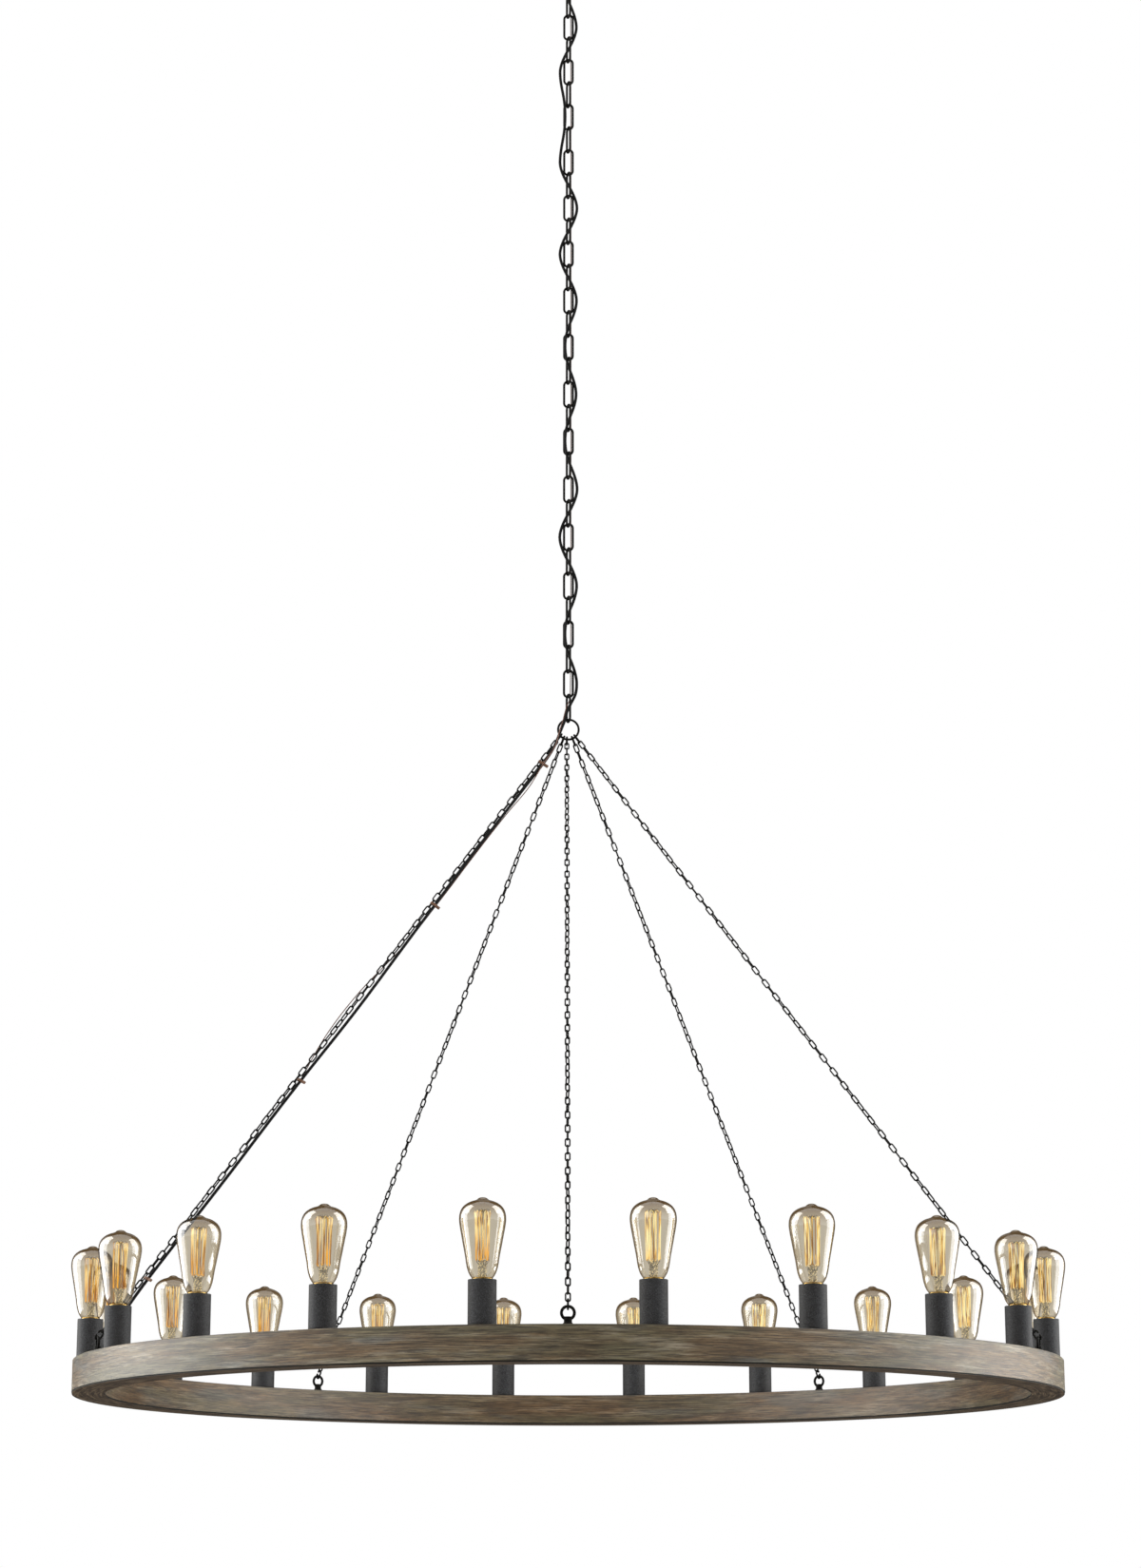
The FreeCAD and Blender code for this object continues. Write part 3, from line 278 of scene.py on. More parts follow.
def weathered_wood():
    wood = Finish("weathered_wood", Specular_IOR_Level=0.50)
    x, y, z = wood.point()
    radius = (x * x + y * y) ** 0.5
    across = z + radius
    patch = wood.noise(wood.vector(x * 9, y * 9, across * 120), 1.0, 6.0, 0.72)
    broad = wood.noise(wood.vector(x * 4.3 + 7, y * 4.3, across * 26), 1.0, 3.0, 0.55)
    streak = wood.noise(wood.vector(x * 20, y * 20 + 3, across * 640), 1.0, 8.0, 0.74)
    line = wood.noise(wood.vector(x * 24 + 5, y * 24, across * 600), 1.0, 3.0, 0.6)
    brown = wood.ramp(patch, (0.36, colour(0.070, 0.043, 0.020)), (0.46, colour(0.165, 0.112, 0.056)),
                      (0.54, colour(0.240, 0.180, 0.104)), (0.64, colour(0.385, 0.325, 0.235)))
    stained = wood.mixed(broad.between(0.46, 0.62) * 0.65, brown, colour(0.160, 0.152, 0.084))
    stained = wood.mixed((1 - broad.between(0.38, 0.50)) * 0.50, stained, colour(0.200, 0.120, 0.056))
    cool = wood.noise(wood.vector(x * 6 + 2, y * 6 + 9, across * 44), 1.0, 3.0, 0.55)
    stained = wood.mixed(cool.between(0.54, 0.68) * 0.50, stained, colour(0.190, 0.205, 0.195))
    stained = wood.mixed(1.0, stained, wood.ramp(streak, (0.34, grey(0.20)), (0.46, grey(0.80)),
                                                 (0.54, grey(1.18)), (0.64, grey(1.75))), "MULTIPLY")
    stained = wood.mixed(line.between(0.54, 0.59) * 0.70, stained, colour(0.045, 0.034, 0.022))
    # painted shade: the face that looks inwards is made darker and browner
    painted_inward_shade = 1 - radius.between(*inward_face)
    stained = wood.mixed(painted_inward_shade * 0.8, stained, colour(0.80, 0.68, 0.55), "MULTIPLY")
    # the top edges of the outer and inner faces are made darker
    top = (z - ring_middle).between(*edge_above_ring_middle)
    rim = (radius - band_middle_radius).size().between(*edge_from_band_middle)
    wood.set(Base_Color=wood.mixed(top * rim * 0.75, stained, colour(0.035, 0.034, 0.030)))
    wood.set(Roughness=0.38 + streak * 0.16)
    wood.relief(streak * 0.7 - line.between(0.55, 0.7) * 0.3, 0.0006, 0.55)
    return wood.material


finishes["weathered_wood"] = weathered_wood()
print("wood done")

# %% [markdown]
# The dark board under the ring
# The channel is closed from below by a thin board. Its rim shows as a dark line under the ring, and its face
# as a brown streaky crescent at both ends. Its pattern is the wood's, made flatter and darker.

# %% Dark board


def dark_board():
    board = Finish("dark_board", Specular_IOR_Level=0.12)
    x, y, z = board.point()
    across = z + (x * x + y * y) ** 0.5
    streak = board.noise(board.vector(x * 14, y * 14, across * 320), 1.0, 4.0, 0.7)
    brown = board.ramp(streak, (0.36, colour(0.020, 0.012, 0.006)), (0.50, colour(0.082, 0.054, 0.030)),
                       (0.64, colour(0.230, 0.162, 0.096)))
    rim = (z - ring_low).between(0.1 * mm, 0.4 * mm)
    board.set(Base_Color=board.mixed(rim, brown, colour(0.022, 0.022, 0.019)))
    board.set(Roughness=0.65 + streak * 0.2)
    board.relief(streak, 0.0003, 0.5)
    return board.material


finishes["dark_board"] = dark_board()
print("board done")

# %% [markdown]
# Painted steel
# Chains, hub ring and eye bolts are steel with a dark bronze-black coat that is rubbed a little on the bends.
# The canopy and its ring have the same coat with more gloss. The cups have a charcoal powder coat with a fine
# sandy grain, and painted shade darkens their foot where they meet the ring. All are dark plastics to the light
# rather than bare metal, so they stay non-metallic and get their character from roughness, grain and tone.

# %% Painted steel


def black_steel(name, gloss):
    steel = Finish(name, Specular_IOR_Level=gloss)
    x, y, z = steel.point()
    place = steel.vector(x, y, z)
    mottle = steel.noise(place, 160.0, 3.0, 0.6)
    grain = steel.noise(place, 1500.0, 2.0, 0.5)
    worn = steel.noise(place, 420.0, 2.0, 0.6).between(0.58, 0.72)
    tone = steel.ramp(mottle, (0.35, colour(0.004, 0.004, 0.004)), (0.65, colour(0.015, 0.014, 0.012)))
    steel.set(Base_Color=steel.mixed(worn * 0.25, tone, colour(0.060, 0.046, 0.034)))
    steel.set(Roughness=0.44 + mottle * 0.22)
    steel.relief(grain, 0.00008, 0.6)
    return steel.material


def charcoal_steel():
    coat = Finish("charcoal_steel", Specular_IOR_Level=0.30)
    x, y, z = coat.point()
    place = coat.vector(x, y, z)
    grain = coat.noise(place, 760.0, 4.0, 0.8)
    cloud = coat.noise(place, 55.0, 2.0, 0.5)
    tone = coat.ramp(grain, (0.38, grey(0.006)), (0.50, grey(0.028)), (0.62, colour(0.100, 0.100, 0.106)))
    tone = coat.mixed(cloud.between(0.35, 0.7) * 0.35, tone, colour(0.060, 0.060, 0.064))
    # painted shade: the lowest few millimetres, where the cup meets the ring, are made darker
    foot = 1 - (z - ring_high).between(1.2 * mm, 3.4 * mm)
    coat.set(Base_Color=coat.mixed(foot * 0.7, tone, grey(0.012)))
    coat.set(Roughness=0.52 + grain * 0.25)
    coat.relief(grain, 0.00022, 0.8)
    return coat.material


finishes["black_steel"] = black_steel("black_steel", 0.06)
finishes["satin_black"] = black_steel("satin_black", 0.40)
finishes["charcoal_steel"] = charcoal_steel()
print("painted steel done")

# %% [markdown]
# Bare metals
# Nuts and screws are plain zinc-coated steel, and the lamp's screw base and its socket are brass. Bare metal
# is metallic all over; soft rolling marks and small stains come from a noise on its roughness and tone.

# %% Bare metals


def bare_metal(name, dark, light, smooth):
    metal = Finish(name, Metallic=1.0)
    x, y, z = metal.point()
    place = metal.vector(x, y, z)
    stain = metal.noise(place, 210.0, 3.0, 0.6)
    mark = metal.noise(metal.vector(x, y, z * 9), 600.0, 2.0, 0.5)
    metal.set(Base_Color=metal.ramp(stain, (0.3, dark), (0.7, light)))
    metal.set(Roughness=smooth + mark * 0.2)
    metal.relief(mark, 0.00005, 0.5)
    return metal.material


finishes["plain_steel"] = bare_metal("plain_steel", grey(0.36), colour(0.60, 0.60, 0.58), 0.25)
finishes["brass"] = bare_metal("brass", colour(0.52, 0.34, 0.10), colour(0.86, 0.66, 0.28), 0.16)
print("bare metals done")

# %% [markdown]
# Moulded plastic, cord, wire and ties
# Small parts need their own grain too: the lamp holder is black moulded plastic, the cord is matt black with
# a faint weave, the ground wire has a red-brown jacket, and the ties are rusty brown wire bands.

# %% Small finishes


def moulded(name, dark, light, scale, smooth, depth, gloss=0.45):
    plain = Finish(name, Specular_IOR_Level=gloss)
    x, y, z = plain.point()
    place = plain.vector(x, y, z)
    grain = plain.noise(place, scale, 3.0, 0.6)
    cloud = plain.noise(place, scale / 7, 2.0, 0.5)
    plain.set(Base_Color=plain.ramp(grain * 0.6 + cloud * 0.4, (0.35, dark), (0.65, light)))
    plain.set(Roughness=smooth + grain * 0.2)
    plain.relief(grain, depth, 0.6)
    return plain.material


finishes["holder_black"] = moulded("holder_black", grey(0.012), grey(0.030), 700.0, 0.38, 0.00005)
finishes["cap_grey"] = moulded("cap_grey", grey(0.20), grey(0.32), 500.0, 0.45, 0.00006)
finishes["cord_black"] = moulded("cord_black", grey(0.003), grey(0.014), 1100.0, 0.55, 0.00015, 0.10)
finishes["wire_brown"] = moulded("wire_brown", colour(0.130, 0.050, 0.030), colour(0.270, 0.120, 0.075),
                                 900.0, 0.42, 0.00004)
finishes["tie_rust"] = moulded("tie_rust", colour(0.150, 0.062, 0.028), colour(0.300, 0.150, 0.080),
                               800.0, 0.55, 0.0001)
print("small finishes done")

# %% [markdown]
# Smoky lamp glass
# A lamp of this kind has clear glass with a light brown smoke. Its dome is painted darker: a painted
# reflection of the dark things round it. Real thin glass hardly bends what is behind it, so the glass here is
# one
# skin: a clear shader with a pale tint, a darker one for the painted dark dome and the edge, and a mirror that
# grows towards the edge and is weaker on the inside. The bright shapes on the shoulders are white cards beside
# the object, mirrored in it.

# %% Lamp glass
dome_heights = (116 * mm, 134 * mm)


def lamp_glass():
    glass = Finish("lamp_glass", Base_Color=colour(0.97, 0.96, 0.94), Metallic=1.0, Roughness=0.045)
    x, y, z = glass.point()
    edge = glass.node("ShaderNodeLayerWeight", None, {"Blend": 0.5}, output="Facing")
    # painted reflection: the dome heights get darker smoke, for the dark surroundings that the dome mirrors
    painted_dome_reflection = (z - lamp_base).between(*dome_heights)
    cloud = glass.noise(glass.vector(x, y, z), 60.0, 2.0, 0.5)
    dark = (edge ** 3) * 1.80 + painted_dome_reflection * 0.80 + cloud * 0.10
    # the smoke tint darkens the edge and gives the painted dark reflection at the dome
    clear, smoke = glass.clear(colour(0.730, 0.688, 0.600)), glass.clear(colour(0.370, 0.277, 0.150))
    film = glass.layered(dark.between(0.0, 1.0), clear, smoke)
    inner = glass.node("ShaderNodeNewGeometry", output="Backfacing")
    mirror = (0.12 + (edge ** 2) * 0.42) * (1 - inner * 0.75)
    glass.show(glass.layered(mirror, film, glass.body()))
    return glass.material


def stem_glass():
    glass = Finish("stem_glass", Base_Color=colour(0.80, 0.79, 0.76), Roughness=0.12)
    x, y, z = glass.point()
    edge = glass.node("ShaderNodeLayerWeight", None, {"Blend": 0.5}, output="Facing")
    bubble = glass.noise(glass.vector(x, y, z), 400.0, 2.0, 0.5)
    share = 0.24 + edge * 0.6 + bubble * 0.16
    glass.show(glass.layered(share, glass.clear(colour(0.93, 0.92, 0.89)), glass.body()))
    return glass.material


finishes["lamp_glass"] = lamp_glass()
finishes["stem_glass"] = stem_glass()
print("glass done")

# %% [markdown]
# The glowing filament
# The filament is a long wire that glows orange to yellow. It is thinner than a pixel from afar, so what counts
# is its colour and how many strands there are. The glow is the shader's own emission, at a strength at which
# the colour shows about as written, and a noise gives each strand its own warmth. The small springs at its foot
# show as bright specks of gold light: painted glints, which a speckled emission and pale specks give at this
# size.

# %% Filament and springs
warmer_heights = (60 * mm, 100 * mm)


def filament():
    glow = Finish("filament", Base_Color=colour(0.30, 0.14, 0.03), Roughness=0.5, Emission_Strength=1.5)
    x, y, z = glow.point()
    strand = glow.noise(glow.vector(x * 420, y * 420, z * 16), 1.0, 2.0, 0.5)
    heat = (z - lamp_base).between(*warmer_heights) + x.between(-0.15, 0.15) - 0.3
    cool = glow.ramp(strand, (0.44, colour(0.13, 0.035, 0.000)), (0.56, colour(0.86, 0.44, 0.03)))
    warm = glow.ramp(strand, (0.43, colour(0.16, 0.060, 0.000)), (0.49, colour(0.82, 0.490, 0.040)),
                     (0.54, colour(1.00, 0.94, 0.50)))
    glow.set(Emission_Color=glow.mixed(heat.between(0.0, 1.0), cool, warm))
    glow.material.cycles.emission_sampling = "NONE"
    return glow.material


def spring_wire():
    # painted glints: the springs are no lamp, but glow with a speckled emission
    wire = Finish("spring_wire", Roughness=0.4, Emission_Strength=0.9)
    x, y, z = wire.point()
    speck = wire.noise(wire.vector(x, y, z), 560.0, 2.0, 0.6)
    # the pale specks in the springs' colour are painted glints too
    dark, pale = colour(0.040, 0.024, 0.010), colour(0.900, 0.800, 0.560)
    wire.set(Base_Color=wire.ramp(speck, (0.46, dark), (0.52, pale)))
    wire.set(Emission_Color=wire.ramp(speck, (0.48, grey(0.0)), (0.54, colour(1.00, 0.85, 0.50))))
    wire.material.cycles.emission_sampling = "NONE"
    wire.relief(speck, 0.0001, 0.5)
    return wire.material


finishes["filament"] = filament()
finishes["spring_wire"] = spring_wire()
print("filament and springs done")

# %% [markdown]
# Dress the solids
# Every solid of the frame has a finish slot in its record. One loop gives each solid the finish of its slot.
# Three of them differ a little from their slot: the screws in the cover are as black as the chains, and the
# canopy and its ring have a satin gloss.

# %% Dress the solids
own_finish = {"cover_screws": "black_steel", "canopy": "satin_black", "collar_ring": "satin_black"}
for subpart in frame["record"]["subparts"]:
    node = subpart["node"]
    surface = frame["nodes"][node].data.materials
    surface.clear()
    surface.append(finishes[own_finish.get(node, subpart["material_slot"])])

# %% [markdown]
# Three ways to make a piece
# A turned piece is an outline spun about its axis, as on a lathe. A wire piece is a curve with a round section.
# A smooth outline is a curve through a few points, which Blender turns into a fine line of points.

# %% Helpers for new pieces
merge_distance = 0.01 * mm


def finished(shape):
    """A mesh of a bmesh, with smooth faces."""
    for face in shape.faces:
        face.smooth = True
    mesh = bpy.data.meshes.new("shape")
    shape.to_mesh(mesh)
    shape.free()
    return mesh


def spun(knots, steps):
    """A closed shape turned about Z from the (radius, height) points of its half outline, in millimetres."""
    shape = bmesh.new()
    corners = [shape.verts.new((radius * mm, 0, height * mm)) for radius, height in knots]
    edges = [shape.edges.new(pair) for pair in zip(corners, corners[1:])]
    bmesh.ops.spin(shape, geom=corners + edges, cent=(0, 0, 0), axis=(0, 0, 1), dvec=(0, 0, 0),
                   angle=math.tau, steps=steps, use_merge=True)
    bmesh.ops.remove_doubles(shape, verts=shape.verts, dist=merge_distance)
    bmesh.ops.recalc_face_normals(shape, faces=shape.faces)
    return finished(shape)


def new_curve(thickness=0.0, sides=1):
    """An empty curve in space, with a round section if it has a thickness."""
    curve = bpy.data.curves.new("curve", "CURVE")
    curve.dimensions = "3D"
    curve.bevel_depth = thickness
    curve.bevel_resolution = sides
    curve.use_fill_caps = thickness > 0
    return curve


def mesh_of(curve):
    mesh = bpy.data.meshes.new_from_object(bpy.data.objects.new("curve", curve))
    mesh.materials.clear()
    return mesh


def smooth_outline(knots, resolution):
    """The points of a smooth curve through (radius, height) knots."""
    curve = new_curve()
    curve.resolution_u = resolution
    spline = curve.splines.new("BEZIER")
    spline.bezier_points.add(len(knots) - 1)
    for knot, (radius, height) in zip(spline.bezier_points, knots):
        knot.handle_left_type = "AUTO"
        knot.handle_right_type = "AUTO"
        knot.co = (radius, 0, height)
    return [(max(vertex.co.x, 0), vertex.co.z) for vertex in mesh_of(curve).vertices]


def wires(lines, radius, sides=1, closed=False):
    """One mesh of round wires along lines of points."""
    curve = new_curve(radius, sides)
    for line in lines:
        spline = curve.splines.new("POLY")
        spline.points.add(len(line) - 1)
        for point, place in zip(spline.points, line):
            point.co = (*place, 1)
        spline.use_cyclic_u = closed
    return mesh_of(curve)


def piece(name, mesh, finish):
    """An object at the origin with its own mesh."""
    mesh.name = name
    mesh.materials.append(finishes[finish])
    made = bpy.data.objects.new(name, mesh)
    scene.collection.objects.link(made)
    return made


print("helpers ready")

# %% [markdown]
# One lamp
# The glass is blown in a mould: narrow neck, straight taper, round shoulder, low dome and a sealed tip. Its
# outline is a curve through a few knots. It could be modelled face by face, but a lathe is quickest.
# Heights are counted from the tip of the lamp's centre contact, 30.5 mm under the rim of the cup.

# %% Lamp glass outline
glass_knots = [(0, 24.0), (9.5, 24.0), (11.3, 27.0), (13.4, 30.9), (19.0, 40.5), (24.0, 65.0), (28.7, 90.0),
               (31.3, 105.0), (31.9, 112.5), (30.8, 120.6), (27.8, 127.0), (22.8, 131.8), (16.5, 135.2),
               (10.8, 137.0), (8.0, 138.2), (6.0, 139.8), (3.4, 140.9), (0, 141.3)]
glass_line = smooth_outline(glass_knots, 4)
lamp_shapes = {"glass": (spun(glass_line, 64), "lamp_glass", "lamp_glass")}
print("glass", len(glass_line), "points, widest radius", round(max(radius for radius, height in glass_line), 1))

# %% [markdown]
# The lamp's brass base
# The base is rolled thin brass: a skirt, five rounded threads and a foot that narrows to the contact. The
# thread is drawn as rings, because its slope can't be seen on a part this small.

# %% Lamp base
thread_count = 5
thread_pitch = 3.63
thread_foot = 4.2
base_knots = [(0, 0), (3.6, 0.2), (4.4, 1.4), (11.2, thread_foot)]
for turn in range(thread_count):
    foot = thread_foot + thread_pitch * turn
    base_knots += [(12.2, foot + 0.9), (12.8, foot + 1.5), (12.95, foot + 2.2), (12.8, foot + 2.9)]
base_knots += [(12.2, 23.2), (12.3, 29.4), (13.8, 30.7), (13.9, 32.4), (12.6, 33.0), (0, 33.0)]
lamp_shapes["base"] = (spun(base_knots, 32), "brass", "brass")
print("base", len(base_knots), "points")

# %% [markdown]
# Stem, hooks and filament
# Inside stands a pressed glass stem with a thin rod. Two stars of wire hooks on it hold the filament, which
# goes up and down nine times between them. The strands lean and bow a little, so a seeded random number moves
# each one: the seed keeps every run the same. Two leads and a crown of small springs stand at the stem's foot.

# %% Stem
stem_knots = [(0, 26), (10.1, 26), (9.6, 27.2), (6.4, 30.5), (4.2, 35.0), (3.5, 41.0), (3.3, 50.0), (2.4, 53.0),
              (1.0, 54.5), (0.9, 119.0), (2.0, 120.5), (2.2, 122.0), (1.4, 123.4), (0, 123.8)]
lamp_shapes["stem"] = (spun(stem_knots, 12), "stem_glass", "lamp_glass")
print("stem", len(stem_knots), "points")

# %% The filament's line
filament_radius = 0.60 * mm
strand_count = 18
low_radius, low_height = 9.4, 58.0
high_radius, high_height = 11.2, 120.5


def on_cylinder(radius, turn, height):
    return Vector((math.cos(turn) * radius * mm, math.sin(turn) * radius * mm, height * mm))


def filament_line(seed):
    """The filament's points, up and down between the two stars of hooks."""
    chance = random.Random(seed)
    line = []
    for strand in range(strand_count):
        turn = math.tau * strand / strand_count + chance.uniform(-0.20, 0.20)
        low = on_cylinder(low_radius + chance.uniform(-1.2, 0.6), turn,
                          low_height + chance.uniform(-1.5, 1.5))
        high = on_cylinder(high_radius + chance.uniform(-1.2, 0.6), turn, high_height)
        bow = on_cylinder(chance.uniform(-2.8, 1.2), turn + chance.uniform(-1.4, 1.4), 0)
        run = [low, low.lerp(high, 0.3) + bow, low.lerp(high, 0.7) + bow * 0.8, high]
        hook_turn = turn + math.pi / strand_count
        if strand % 2 == 0:
            line += run + [on_cylinder(high_radius - 0.6, hook_turn, high_height + 2.6)]
        else:
            line += run[::-1] + [on_cylinder(low_radius - 0.6, hook_turn, low_height - 2.2)]
    return line[:-1]


print("filament points", len(filament_line(0)))

# %% Hooks, leads and springs
hook_wire_radius, spring_wire_radius = 0.40 * mm, 0.65 * mm
high_hook = [(1.4, 122.4), (6.0, 125.4), (10.6, 123.2)]
low_hook = [(2.6, 47.0), (6.4, 52.0), (8.8, 55.8)]
lead = [(3.6, 38.0), (5.0, 47.0), (9.0, 57.4)]
lead_turns = (0.6, 0.6 + math.pi)
spring_turns = (0.2, 1.1, 2.0, 2.9, 3.8, 4.7, 5.6)
spring_points = 12


def upright(knots, turn):
    return [on_cylinder(radius, turn, height) for radius, height in knots]


def spring(turn):
    """A small spring that winds up round the stem's foot as a zigzag."""
    return [on_cylinder(4.4 + 1.6 * (step % 2), turn + 0.24 * step, 35.0 + 1.9 * step)
            for step in range(spring_points)]


hook_lines = []
for strand in range(0, strand_count, 2):
    hook_lines.append(upright(high_hook, math.tau * (strand + 0.5) / strand_count))
    hook_lines.append(upright(low_hook, math.tau * (strand + 1.5) / strand_count))
hook_lines += [upright(lead, turn) for turn in lead_turns]
spring_lines = [spring(turn) for turn in spring_turns]
lamp_shapes["hooks"] = (wires(hook_lines, hook_wire_radius, 0), "plain_steel", "brass")
lamp_shapes["springs"] = (wires(spring_lines, spring_wire_radius, 0), "spring_wire", "brass")
print("hook wires", len(hook_lines), "springs", len(spring_lines))

# %% [markdown]
# Twenty lamps
# Each lamp is its own moving body, because it unscrews. The shapes made above are copied for each one, turned
# a little and given a filament of its own, so that no two lamps look alike. An object could be moved to the
# lamp's place, but the place goes into the mesh itself: the object stays at the origin, as the export wants it.

# %% Twenty lamps
turn_from_lamp_to_lamp = 2.4
lamp_parts = 0
for number in range(lamp_count):
    body = "bulb_%02d" % (number + 1)
    angle = math.tau * (number + 0.5) / lamp_count
    place = Vector((math.sin(angle) * lamp_circle_radius, -math.cos(angle) * lamp_circle_radius, lamp_base))
    own_turn = Matrix.Rotation(turn_from_lamp_to_lamp * number, 4, "Z")
    own_filament = wires([filament_line(number)], filament_radius)
    shapes = dict(lamp_shapes, filament=(own_filament, "filament", "lamp_glass"))
    for part, (shape, finish, slot) in shapes.items():
        mesh = shape.copy()
        mesh.transform(Matrix.Translation(place) @ own_turn)
        made = piece(body + "_" + part, mesh, finish)
        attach(made, body)
        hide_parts(body)
        lamp_parts += 1
print("lamp pieces", lamp_parts)

# %% [markdown]
# Five thin chains
# Each thin chain is a row of small welded links, every one turned against the next. The measured solids hold
# thousands of faces per link, far more than a link this thin can show, so a link is drawn once as a wire
# round an oval, with a few dozen faces, and copied along the same line as the solids. The first and the last
# link keep their seats in the hub's connector and in the eye's open link.

# %% One thin link
link_wire = 1.25
link_long = 17.8
link_wide = 8.8
bend_steps = 6
link_bend = link_wide / 2 - link_wire
link_straight = link_long / 2 - link_wire - link_bend
oval = []
for end, start_turn in ((1, 0), (-1, math.pi)):
    for step in range(bend_steps + 1):
        turn = start_turn + math.pi * step / bend_steps
        height = link_straight * end + math.sin(turn) * link_bend
        oval.append(Vector((math.cos(turn) * link_bend, 0, height)) * mm)
link_mesh = wires([oval], link_wire * mm, 1, closed=True)
print("link faces", len(link_mesh.polygons))

# %% Chains from the hub to the eyes
hub = middle("hub_ring").z / mm
ring_top = ring_high / mm
hub_radius = 16.7
eye_radius = 736.0
eye_rise = 25.2
solid_link_long = 15.9
first_link_place = 9.85 + solid_link_long / 2
last_link_place = 8.55 + solid_link_long / 2
thin_links = 87
left_eye, left_hook = -72, -50
# name, angle of its eye on the ring, angle of its hook on the hub, and half turns of twist on the way
thin_chains = [("left", left_eye, left_hook, 3), ("back_left", -144, -28, 3), ("front", 0, -9, 2),
               ("back_right", 144, 24, -3), ("right", 72, 43, -4)]


def ends_of_chain(eye_angle, hook_angle):
    """Where a chain's line meets the hub ring's wire and the eye's wire, in millimetres."""
    hook, eye = math.radians(hook_angle), math.radians(eye_angle)
    start = Vector((math.sin(hook) * hub_radius, 0, hub - math.cos(hook) * hub_radius))
    return start, Vector((math.sin(eye) * eye_radius, -math.cos(eye) * eye_radius, ring_top + eye_rise))


def squared(direction, along):
    return (direction - along * direction.dot(along)).normalized()


def thin_chain(eye_angle, hook_angle, half_turns):
    """A bmesh of all the links of one chain, turned as the solids are."""
    start, end = ends_of_chain(eye_angle, hook_angle)
    along = (end - start).normalized()
    hook, eye = math.radians(hook_angle), math.radians(eye_angle)
    hook_across = along.cross(squared(Vector((math.cos(hook), 0, math.sin(hook))), along))
    eye_across = along.cross(squared(Vector((math.cos(eye), math.sin(eye), 0)), along))
    swing = math.degrees(math.atan2(hook_across.cross(eye_across).dot(along), hook_across.dot(eye_across)))
    excess = (swing - (thin_links + 1) * 90) % 180 + half_turns * 180
    step_turn = math.radians(90 + excess / (thin_links + 1))
    pitch = ((end - start).length - first_link_place - last_link_place) / (thin_links - 1)
    chain = bmesh.new()
    for number in range(thin_links):
        across = Matrix.Rotation(step_turn * (number + 1), 3, along) @ hook_across
        place = (start + along * (first_link_place + pitch * number)) * mm
        axes = Matrix((across, along.cross(across), along)).transposed().to_4x4()
        one = link_mesh.copy()
        one.transform(Matrix.Translation(place) @ axes)
        chain.from_mesh(one)
    return chain, pitch


for name, eye_angle, hook_angle, half_turns in thin_chains:
    shape, pitch = thin_chain(eye_angle, hook_angle, half_turns)
    made = piece("thin_chain_" + name, finished(shape), "black_steel")
    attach(made, "wheel")
    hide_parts("chain_" + name)
    print(name, "chain, pitch", round(pitch, 3), "mm")

# %% [markdown]
# Cord and ground wire
# The black cord goes in and out of the links of the main chain, on through the lowest link, and down beside the
# left thin chain into the ring. It is one NURBS line along the same points as its solid, and its
# round section is the curve's bevel. One piece that rides on one body would tear away from the others when they
# swing. The cord crosses four joints, so its tube is cut at heights between them: each short stretch spans
# one joint and stays where it was made, and the long ones ride on one body.

# %% Where the cord runs
supply_cord_radius, ground_wire_radius = 2.4 * mm, 0.8 * mm
link_pitch = 41.8
link_low = middle("bottom_link").z / mm
top_link = middle("top_link").z / mm
nipple_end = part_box("threaded_nipple")[0].z / mm
loop_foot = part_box("canopy")[0].z / mm - 10
bail_wire = 2.4
loop_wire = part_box("canopy_loop")[0].z / mm + bail_wire


def beside(start, end):
    """A way to name points beside the left chain: share of its length, then below it and in front of it."""
    along = (end - start).normalized()
    front = squared(Vector((0, -1, 0)), along)
    below = front.cross(along)
    return lambda share, under, ahead: start + (end - start) * share + below * under + front * ahead


chain_start, chain_end = ends_of_chain(left_eye, left_hook)
by_chain = beside(chain_start, chain_end)
print("left chain", round((chain_end - chain_start).length, 1), "mm")

# %% Cord points along the main chain
beside_link = (-5.6, -4.6)
past_link, through_link = 22, 15
# number of the link from below, and how far the cord goes through it to the side; 0 passes beside it
weave = [(29, 13.6), (27, -14.4), (25, 0), (23, -14.4), (21, 14.4), (19, -14.4), (17, 13.6), (15, 0),
         (13, 12.8), (11, 0), (9, 14.4), (7, -14.4), (5, 13.6), (3, 0), (1, 13.6)]
cord_points = [(-0.9, 0, nipple_end), (-0.9, 0, loop_foot), (*beside_link, loop_wire + 4.8),
               (-6.1, -4.9, top_link + 3.4), (*beside_link, top_link - past_link)]
for count, aside in weave:
    level = link_low + link_pitch * count
    spot, reach = ((aside, 0), through_link) if aside else (beside_link, past_link)
    cord_points += [(*spot, level + reach), (*spot, level - reach)]
cord_points += [(5.5, -0.5, link_low + 10.9), (-2.6, -1.0, link_low - 5), (-5.2, -4.9, hub + 15),
                (-10.6, -7.2, hub + 1), (-14.6, -8.8, hub - 10)]
wire_points = [(2, 0, nipple_end), (2, 0, loop_foot), (4.3, 3.2, loop_wire + 8.2), (4.3, 3.2, link_low + 21),
               (1.6, 1.66, link_low + 14), (-3.4, -1.2, link_low + 1), (-6.6, -2.8, link_low - 11),
               (-8.8, -6.2, hub + 13), (-13.2, -9.4, hub), (-15.8, -12.0, hub - 11)]
print("cord points", len(cord_points), "wire points", len(wire_points))

